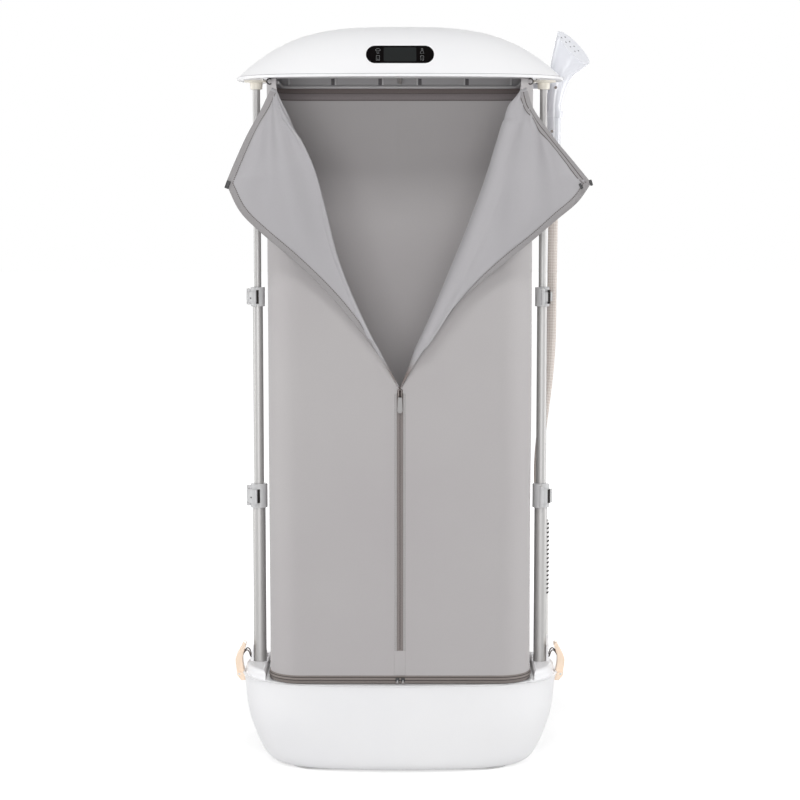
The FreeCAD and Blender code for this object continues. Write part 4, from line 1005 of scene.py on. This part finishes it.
# %% Teeth and patch
TOOTH_PITCH, TOOTH_SIZE, TEETH_APART = 0.0032, (0.0024, 0.0016, 0.0013), 0.0022
TOOTH_LIFT, FIRST_TOOTH, TEETH_SHORT = 0.0021, 0.003, 0.008
PATCH_FOOT, PATCH_WIDE, PATCH_THICK = 0.218, 0.0235, 0.0024
teeth_grey = moulded("zip_teeth", (112, 104, 102), (124, 117, 115), 0.5)
tooth = soft_block("front_zip_teeth", on_front(-TEETH_APART / 2, TOOTH_LIFT, ZIP_FOOT + FIRST_TOOTH),
                   TOOTH_SIZE, teeth_grey, round_by=0.0003)
open_edit(tooth)
bpy.ops.mesh.duplicate()
bpy.ops.transform.translate(value=(TEETH_APART, 0, TOOTH_PITCH / 2))
close_edit()
repeated(tooth, (0, 0, TOOTH_PITCH), int((ZIP_TOP - ZIP_FOOT - TEETH_SHORT) / TOOTH_PITCH))
patch = soft_block("front_zip_patch", on_front(0, 0.0017, (ZIP_FOOT + PATCH_FOOT) / 2),
                   (PATCH_WIDE, PATCH_THICK, ZIP_FOOT - PATCH_FOOT), grey_cloth, round_by=0.0009)
soft_trim += [tape, tooth, patch] + pleats
print("teeth faces", len(tooth.data.polygons))

# %% [markdown]
# ## Zip slider
# The slider stands at the foot of the opening. Its body is a small rounded block with a bridge over it, and
# the pull hangs from the bridge as a flat tab with a round end.

# %% Slider and pull
SLIDER_Z = 0.8237


def extruded(name, outline, start, thick):
    """Flat outline in x and z, drawn out along y from a start to a thickness."""
    made = new_piece(name, [(x, start, z) for x, z in outline], [], [tuple(range(len(outline)))])
    open_edit(made)
    bpy.ops.mesh.extrude_region_move(TRANSFORM_OT_translate={"value": (0, thick, 0)})
    bpy.ops.mesh.select_all(action="SELECT")
    bpy.ops.mesh.normals_make_consistent(inside=False)
    close_edit()
    return made


def pull_tab(name, place, wide, tall, thick):
    """Flat tab, a little narrower at its top, with a round foot and eased edges."""
    half = wide / 2
    foot = -tall + half
    turns = [math.pi * k / 10 for k in range(1, 10)]
    outline = [(-half * 0.7, 0.0), (half * 0.7, 0.0), (half, foot)]
    outline += [(half * math.cos(a), foot - half * math.sin(a)) for a in turns] + [(-half, foot)]
    made = extruded(name, outline, 0, thick)
    open_edit(made)
    bpy.ops.mesh.bevel(offset=thick * 0.25, segments=2, affect="EDGES", clamp_overlap=True)
    close_edit()
    made.data.transform(Matrix.Translation(place))
    smooth_sides(made)
    made.data.materials.append(pull_grey)
    return made


slider_body = soft_block("slider_body", on_front(0, 0.0045, SLIDER_Z), (0.0114, 0.0052, 0.0202), dark_steel,
                         round_by=0.0018)
slider_pull = pull_tab("slider_pull", on_front(0, 0.0088, SLIDER_Z - 0.007), 0.0116, 0.0336, 0.0014)
slider_bridge = soft_block("slider_bridge", on_front(0, 0.0082, SLIDER_Z + 0.001), (0.0040, 0.0040, 0.0150),
                           ring_black, round_by=0.0008)
carried("zip_slider", "steel", slider_body, slider_pull, slider_bridge)
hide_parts("zip_slider")

# %% [markdown]
# ## Hem and inner bands
# The foot of the cover is a zip tape that runs round the box, with a dark coil line and two small black
# sliders in the middle of the front. Inside the top, a stitched band and a darker one above it carry the
# cover. The darker tone of the upper band is partly the mauve tape and partly painted shade under the head.

# %% Hem zip
HEM = [(0.1995, 0.0010), (0.2003, 0.0020), (0.2060, 0.0024), (0.2066, 0.0034), (0.2084, 0.0038),
       (0.2102, 0.0034), (0.2108, 0.0024), (0.2160, 0.0020), (0.2168, 0.0010)]
HEM_STEPS, BAND_STEPS = 260, 200


def loop_strip(name, section, start, finish, steps):
    """Strip from one distance on the left, round behind, to one on the right; section is height and lift."""
    grid, uvs = [], []
    whole = 2 * HALF_ROUND - start - finish
    for step in range(steps + 1):
        run = start + whole * step / steps
        side, along = (-1, run) if run <= HALF_ROUND else (1, 2 * HALF_ROUND - run)
        row = []
        for height, lift in section:
            place = box_point(side, along, lift)[0]
            row.append(Vector((place.x, place.y, height)))
        grid.append(row)
        uvs.append([(height - section[0][0], run) for height, lift in section])
    return sheet_object(name, grid, uvs)


hem = loop_strip("hem_zip_band", HEM, 0.0, 0.0, HEM_STEPS)
hem.data.materials.append(hem_cloth)
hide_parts("hem_zip")
soft_trim.append(hem)
for x, word in ((-0.0055, "left"), (0.0062, "right")):
    soft_trim.append(soft_block(f"{word}_hem_slider", on_front(x, 0.0042, 0.2083), (0.0085, 0.0042, 0.0078),
                                black_plastic))
    soft_trim.append(pull_tab(f"{word}_hem_pull", on_front(x, 0.0074, 0.2075), 0.0040, 0.0075, 0.0010))

# %% Bands inside the top
BAND_LOW = [(1.4505, -0.0016), (1.4515, -0.0034), (1.4590, -0.0038), (1.4660, -0.0034), (1.4672, -0.0022)]
BAND_HIGH = [(1.4668, -0.0020), (1.4700, -0.0028), (1.4780, -0.0030), (1.4835, -0.0026)]
BAND_GAP = 0.012
band_start = {side: fold_lines[side][-1].x + BAND_GAP for side in SIDES}
for name, section, cloth in (("inner_stitched_band", BAND_LOW, band_cloth),
                             ("inner_dark_band", BAND_HIGH, dark_band)):
    band = loop_strip(name, section, band_start[-1], band_start[1], BAND_STEPS)
    band.data.materials.append(cloth)
    soft_trim.append(band)
print("bands start", round(band_start[-1], 3), round(band_start[1], 3))

# %% [markdown]
# ## Corner rings
# The top corners of the opening hang on small dark rings under the head. Each ring is a wire circle spun
# round, with a short strap that goes down into the seam and a pale bead on it.

# %% Rings
RING_R, RING_WIRE, RING_SIDES, RING_STEPS = 0.0058, 0.0012, 10, 28
RING_X, RING_Y, RING_Z = 0.2735, -0.1050, 1.4795


def spun(name, outline, axis, steps, material):
    """Closed outline spun once round an axis through the origin and welded where it meets itself."""
    edges = [(k, (k + 1) % len(outline)) for k in range(len(outline))]
    made = new_piece(name, outline, edges, [])
    open_edit(made)
    bpy.ops.mesh.spin(steps=steps, angle=2 * math.pi, center=(0, 0, 0), axis=axis)
    bpy.ops.mesh.select_all(action="SELECT")
    bpy.ops.mesh.remove_doubles(threshold=WELD)
    bpy.ops.mesh.delete_loose()
    bpy.ops.mesh.select_all(action="SELECT")
    bpy.ops.mesh.normals_make_consistent(inside=False)
    close_edit()
    made.data.materials.append(material)
    return made


def wire_ring(name, radius, wire):
    """Black wire ring about the y axis."""
    turns = [2 * math.pi * k / RING_SIDES for k in range(RING_SIDES)]
    section = [(radius + wire * math.cos(a), wire * math.sin(a), 0) for a in turns]
    made = spun(name, section, (0, 1, 0), RING_STEPS, ring_black)
    made.data.shade_smooth()
    return made


for side, word in SIDES.items():
    x = side * RING_X
    ring = wire_ring(f"{word}_corner_ring", RING_R, RING_WIRE)
    ring.data.transform(Matrix.Translation((x, RING_Y, RING_Z)))
    strap = soft_block(f"{word}_ring_strap", (x - side * 0.0062, RING_Y, RING_Z - 0.0085),
                       (0.0042, 0.0022, 0.0120), black_plastic)
    bead = soft_block(f"{word}_ring_bead", (x - side * 0.0072, RING_Y - 0.0012, RING_Z - 0.0035),
                      (0.0038, 0.0032, 0.0034), bright_steel)
    carried("head", "steel", ring, strap, bead)
print("rings at", RING_X, RING_Y, RING_Z)

# %% [markdown]
# ## Pole sockets and steam holes
# Each pole ends in a cream cup under the head, with a flat flange against the head's floor. The steam face
# has two rows of four holes; each is a shallow black cup, painted shade for the hollow of the wand behind it.
# Both are turned parts: a half section is spun round its axis and then set in place.

# %% Turned parts
POLE_X = 0.309
SOCKET_SECTION = [(0.0085, 1.4868), (0.0262, 1.4868), (0.0262, 1.4846), (0.0252, 1.4832), (0.0138, 1.4820),
                  (0.0130, 1.4702), (0.0116, 1.4682), (0.0085, 1.4682)]
HOLE_SECTION = [(0, 0), (0.0015, 0), (0.0019, -0.0004), (0.0019, -0.0012), (0, -0.0012)]
HOLE_FIRST, HOLE_AXIS, HOLE_MOUTH = (0.3522, 0.0838, 1.5843), (0.612, -0.502, 0.612), 0.0014
HOLE_STEP, HOLE_ROW = (0.0099, 0, -0.0099), (0.0092, 0.0139, 0.0021)
TURNED_STEPS, TURNED_SHARP = 32, 35


def turned(name, section, material):
    """Half section of radius and height, spun once round the z axis."""
    made = spun(name, [(r, 0, z) for r, z in section], (0, 0, 1), TURNED_STEPS, material)
    smooth_sides(made, TURNED_SHARP)
    return made


sockets = turned("socket_cups", SOCKET_SECTION, socket_cream)
sockets.data.transform(Matrix.Translation((-POLE_X, 0, 0)))
repeated(sockets, (2 * POLE_X, 0, 0), 2)
carried("head", "cream_plastic", sockets)
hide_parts("pole_sockets")
# painted shade: black cups stand for the dark hollow behind the steam holes
holes = turned("steam_holes", HOLE_SECTION, ring_black)
face_out = Vector(HOLE_AXIS).normalized()
holes.data.transform(Matrix.Translation(Vector(HOLE_FIRST) + face_out * HOLE_MOUTH)
                     @ face_out.to_track_quat("Z", "Y").to_matrix().to_4x4())
repeated(holes, HOLE_STEP, 4)
repeated(holes, HOLE_ROW, 2)
carried("wand", "black_plastic", holes)
print("cups", len(sockets.data.polygons), "hole faces", len(holes.data.polygons))

# %% [markdown]
# ## Recess under the head
# The grey pan under the head has a rounded rail along its lip, and in its back wall slots, each with a
# lighter post beside it. Each slot is a dark grey block on the wall, painted shade for the opening behind it.
# The seam where the dome meets its floor is a thin grey tube all the way round, painted shade in the joint.

# %% Recess details
SLOTS = [sx * place for sx in (-1, 1) for place in (0.044, 0.148, 0.251)]
WALL_FACE, SLOT_Z, POST_SHIFT = 0.1135, 1.4910, 0.0062
LEFT_LIP = [(-0.2580, -0.075), (-0.2580, 0.045), (-0.2575, 0.1080), (-0.1900, 0.1082)]
RAIL_Z, RAIL_R = 1.4790, 0.0031
slot_painted_shade = moulded("slot_painted_shade", (82, 80, 82), (92, 90, 92), 0.6)
post_pale = moulded("post_pale", (190, 189, 190), (200, 199, 200), 0.5)
recess = []
for number, x in enumerate(SLOTS, 1):
    # painted shade: a dark block on the wall stands for the shade in each slot opening
    recess.append(soft_block(f"slot_{number}", (x, WALL_FACE, SLOT_Z), (0.0072, 0.0016, 0.0140), slot_painted_shade,
                             round_by=0.0005))
    post_x = x - math.copysign(POST_SHIFT, x)
    recess.append(soft_block(f"slot_post_{number}", (post_x, WALL_FACE - 0.003, SLOT_Z),
                             (0.0042, 0.0050, 0.0150), post_pale, round_by=0.0010))
lip = LEFT_LIP + [(-x, y) for x, y in reversed(LEFT_LIP)]
recess.append(tube("recess_rail", [(x, y, RAIL_Z) for x, y in lip], RAIL_R, post_pale))
carried("head", "grey_tray", *recess)
print("recess pieces", len(recess))

# %% Seam of the dome
LIP_TOP, SEAM_LIFT, SEAM_R, SEAM_INSET, SEAM_RAYS = 1.492, 0.0003, 0.0008, 0.0023, 180
floor_node = nodes["head_floor"]
floor_points = [floor_node.matrix_world @ v.co for v in floor_node.data.vertices]
top_points = [p for p in floor_points if abs(p.z - LIP_TOP) < SEAM_LIFT]
seam_line = []
for number in range(SEAM_RAYS):
    angle = 2 * math.pi * number / SEAM_RAYS
    ahead = Vector((math.cos(angle), math.sin(angle), 0))
    rim = max(top_points, key=lambda p: p.dot(ahead))
    seam_line.append((rim.x - SEAM_INSET * ahead.x, rim.y - SEAM_INSET * ahead.y, LIP_TOP + SEAM_LIFT))
following = seam_line[1:] + seam_line[:1]
seam_line = [p for p, q in zip(seam_line, following) if (Vector(p) - Vector(q)).length > 0.0005]
# painted shade: a thin grey tube stands for the shade in the joint between dome and floor
seam = tube("dome_seam_shade", seam_line, SEAM_R, tray_grey, closed=True)
carried("head", "grey_tray", seam)
print("seam points", len(seam_line))

# %% [markdown]
# ## Display glyphs
# Beside the dark screen the lens carries four small touch signs in pale grey, one per kind of garment. Each
# is drawn as a thin line and laid on the curved lens by shining straight back from the front.

# %% Glyphs
GLYPH_X, GLYPH_LEVELS, GLYPH_SIZE, GLYPH_LINE = 0.046, (1.5410, 1.5257), 0.0052, 0.00035
SHIRT = [(-0.35, -1), (-0.35, 0.2), (-0.8, 0), (-1, 0.5), (-0.4, 1)]
SHIRT += [(-across, up) for across, up in reversed(SHIRT)]
TROUSERS = [(-0.6, 1), (0.6, 1), (0.7, -1), (0.2, -1), (0, 0.3), (-0.2, -1), (-0.7, -1)]
DRESS = [(-0.3, 1), (0.3, 1), (0.25, 0.2), (0.8, -1), (-0.8, -1), (-0.25, 0.2)]
COAT = [(-0.6, -1), (-0.7, 0.8), (0, 1), (0.7, 0.8), (0.6, -1), (0, -1), (0, 0.4)]
lens = nodes["display_lens"]
lens_tree = BVHTree.FromPolygons([lens.matrix_world @ v.co for v in lens.data.vertices],
                                 [tuple(p.vertices) for p in lens.data.polygons])
glyph_grey = moulded("glyph_grey", (150, 152, 153), (160, 162, 163), 0.4, bump=0.0, mirror=0.1)
for name, outline, side, level in (("shirt_sign", SHIRT, -1, 0), ("trouser_sign", TROUSERS, -1, 1),
                                   ("dress_sign", DRESS, 1, 0), ("coat_sign", COAT, 1, 1)):
    x, z = side * GLYPH_X, GLYPH_LEVELS[level]
    starts = [Vector((x + across * GLYPH_SIZE, -0.5, z + up * GLYPH_SIZE)) for across, up in outline]
    hits = [lens_tree.ray_cast(start, Vector((0, 1, 0)))[0] for start in starts]
    carried("head", "black_lens", tube(name, hits, GLYPH_LINE, glyph_grey, closed=True))
print("glyphs", 4)

# %% [markdown]
# ## Slits and gaps
# The shade inside the slits of the bend guard is painted with black rings, and the shade in the gap at the
# end of each clamp lever with a black block. One slit ring is spun and repeated up the guard. Each gap is set
# by its angle round the pole.

# %% Guard slits
SLIT_FOOT, SLIT_PITCH, SLIT_COUNT = 0.3610, 0.164 / 17, 17
SLIT_R, SLIT_WIRE = 0.0134, 0.0023
# painted shade: black rings stand for the shade deep in the slits
slits = wire_ring("guard_slit_shade", SLIT_R, SLIT_WIRE)
slits.data.transform(Matrix.Translation((*GUARD_AXIS, SLIT_FOOT + 0.21 * SLIT_PITCH))
                     @ Matrix.Rotation(math.pi / 2, 4, "X"))
repeated(slits, (0, 0, SLIT_PITCH), SLIT_COUNT)
carried("base", "dark_rubber", slits)
print("slits", SLIT_COUNT)

# %% Lever gaps
GAP_ANGLE = {-1: math.radians(271), 1: math.radians(-45)}
GAP_WIDE = {-1: 0.0058, 1: 0.0080}
GAP_DEEP, GAP_SUNK = 0.0026, 0.0009
DOT_ANGLE, DOT_DROP, DOT_SIZE = math.radians(225), 0.0030, (0.0034, 0.0012, 0.0034)
LEVER_OUT = 0.005
CLAMPS = {"lower": ("base", 0.0185, 0.5875, 0.0305), "upper": ("mid_stage", 0.0155, 1.0230, 0.0300)}


def on_pole(name, side, angle, radius, height, size, body):
    """Small black block set against a round face of a clamp, turned to face outwards."""
    made = soft_block(name, (0, -radius, 0), size, ring_black, round_by=0.0006)
    made.data.transform(Matrix.Translation((side * POLE_X, 0, height))
                        @ Matrix.Rotation(angle + math.pi / 2, 4, "Z"))
    carried(body, "black_plastic", made)


for side, word in SIDES.items():
    for level, (body, collar, middle, tall) in CLAMPS.items():
        lever = f"{word}_{level}_lever"
        # painted shade: a black block stands for the shade in the gap at the end of the lever
        face = collar + (LEVER_OUT if side > 0 else 0.0) - GAP_SUNK
        on_pole(f"{word}_{level}_gap", side, GAP_ANGLE[side], face, middle, (GAP_WIDE[side], GAP_DEEP, tall),
                lever if side > 0 else body)
        if side < 0:
            on_pole(f"{word}_{level}_dot", side, DOT_ANGLE, collar + LEVER_OUT, middle - DOT_DROP, DOT_SIZE,
                    lever)
print("gaps", 4)

# %% [markdown]
# ## Base latches
# Each latch is a moulded cream lever. Seen from the front it bends outwards at its middle, and its foot
# turns in to the pin in the bracket. A bent steel wire with two legs goes from its back over the edge of
# the deck.

# %% Latches
LATCH_HALF, LATCH_ROUND = 0.0150, 0.0016
LATCH_OUTER = [(0.3450, 0.2625), (0.3520, 0.2490), (0.3585, 0.2370), (0.3630, 0.2245), (0.3615, 0.2080),
               (0.3590, 0.1930), (0.3535, 0.1815)]
LATCH_INNER = [(0.3455, 0.1830), (0.3440, 0.1960), (0.3465, 0.2120), (0.3470, 0.2280), (0.3430, 0.2440),
               (0.3385, 0.2570)]
BAIL_HALF, BAIL_R = 0.0110, 0.0014
BAIL_SIDE = [(0.3470, 0.2330), (0.3405, 0.2450), (0.3330, 0.2430), (0.3290, 0.2280)]
latch_outline = [p for line, samples in ((LATCH_OUTER, 24), (LATCH_INNER, 22))
                 for p in curve_through([(x, z, 0) for x, z in line], samples)]
for side, word in SIDES.items():
    latch = extruded(f"{word}_latch_lever", [(side * p.x, p.y) for p in latch_outline], -LATCH_HALF,
                     2 * LATCH_HALF)
    modified(latch, "BEVEL", width=LATCH_ROUND, segments=3, limit_method="ANGLE",
             angle_limit=math.radians(50))
    smooth_sides(latch)
    latch.data.materials.append(latch_peach)
    carried(f"{word}_latch", "cream_plastic", latch)
    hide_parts(f"{word}_latch")
    legs = [(side * x, -BAIL_HALF, z) for x, z in BAIL_SIDE]
    legs += [(x, -y, z) for x, y, z in reversed(legs)]
    carried(f"{word}_latch", "steel", tube(f"{word}_bail", legs, BAIL_R, dark_steel))
print("latches", 2)

# %% [markdown]
# ## The soft pieces
# The cover, its corners and all trim ride on the base, and each soft piece and the hose get a mesh of
# their own.

# %% Soft pieces
carried("base", "zip_tape", *soft_trim)
for piece in [cover, flaps[-1], flaps[1]] + soft_trim:
    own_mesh(piece)


for side, word in SIDES.items():
    lengths = cloth_lengths(flap_grids[side])
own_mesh(hose)
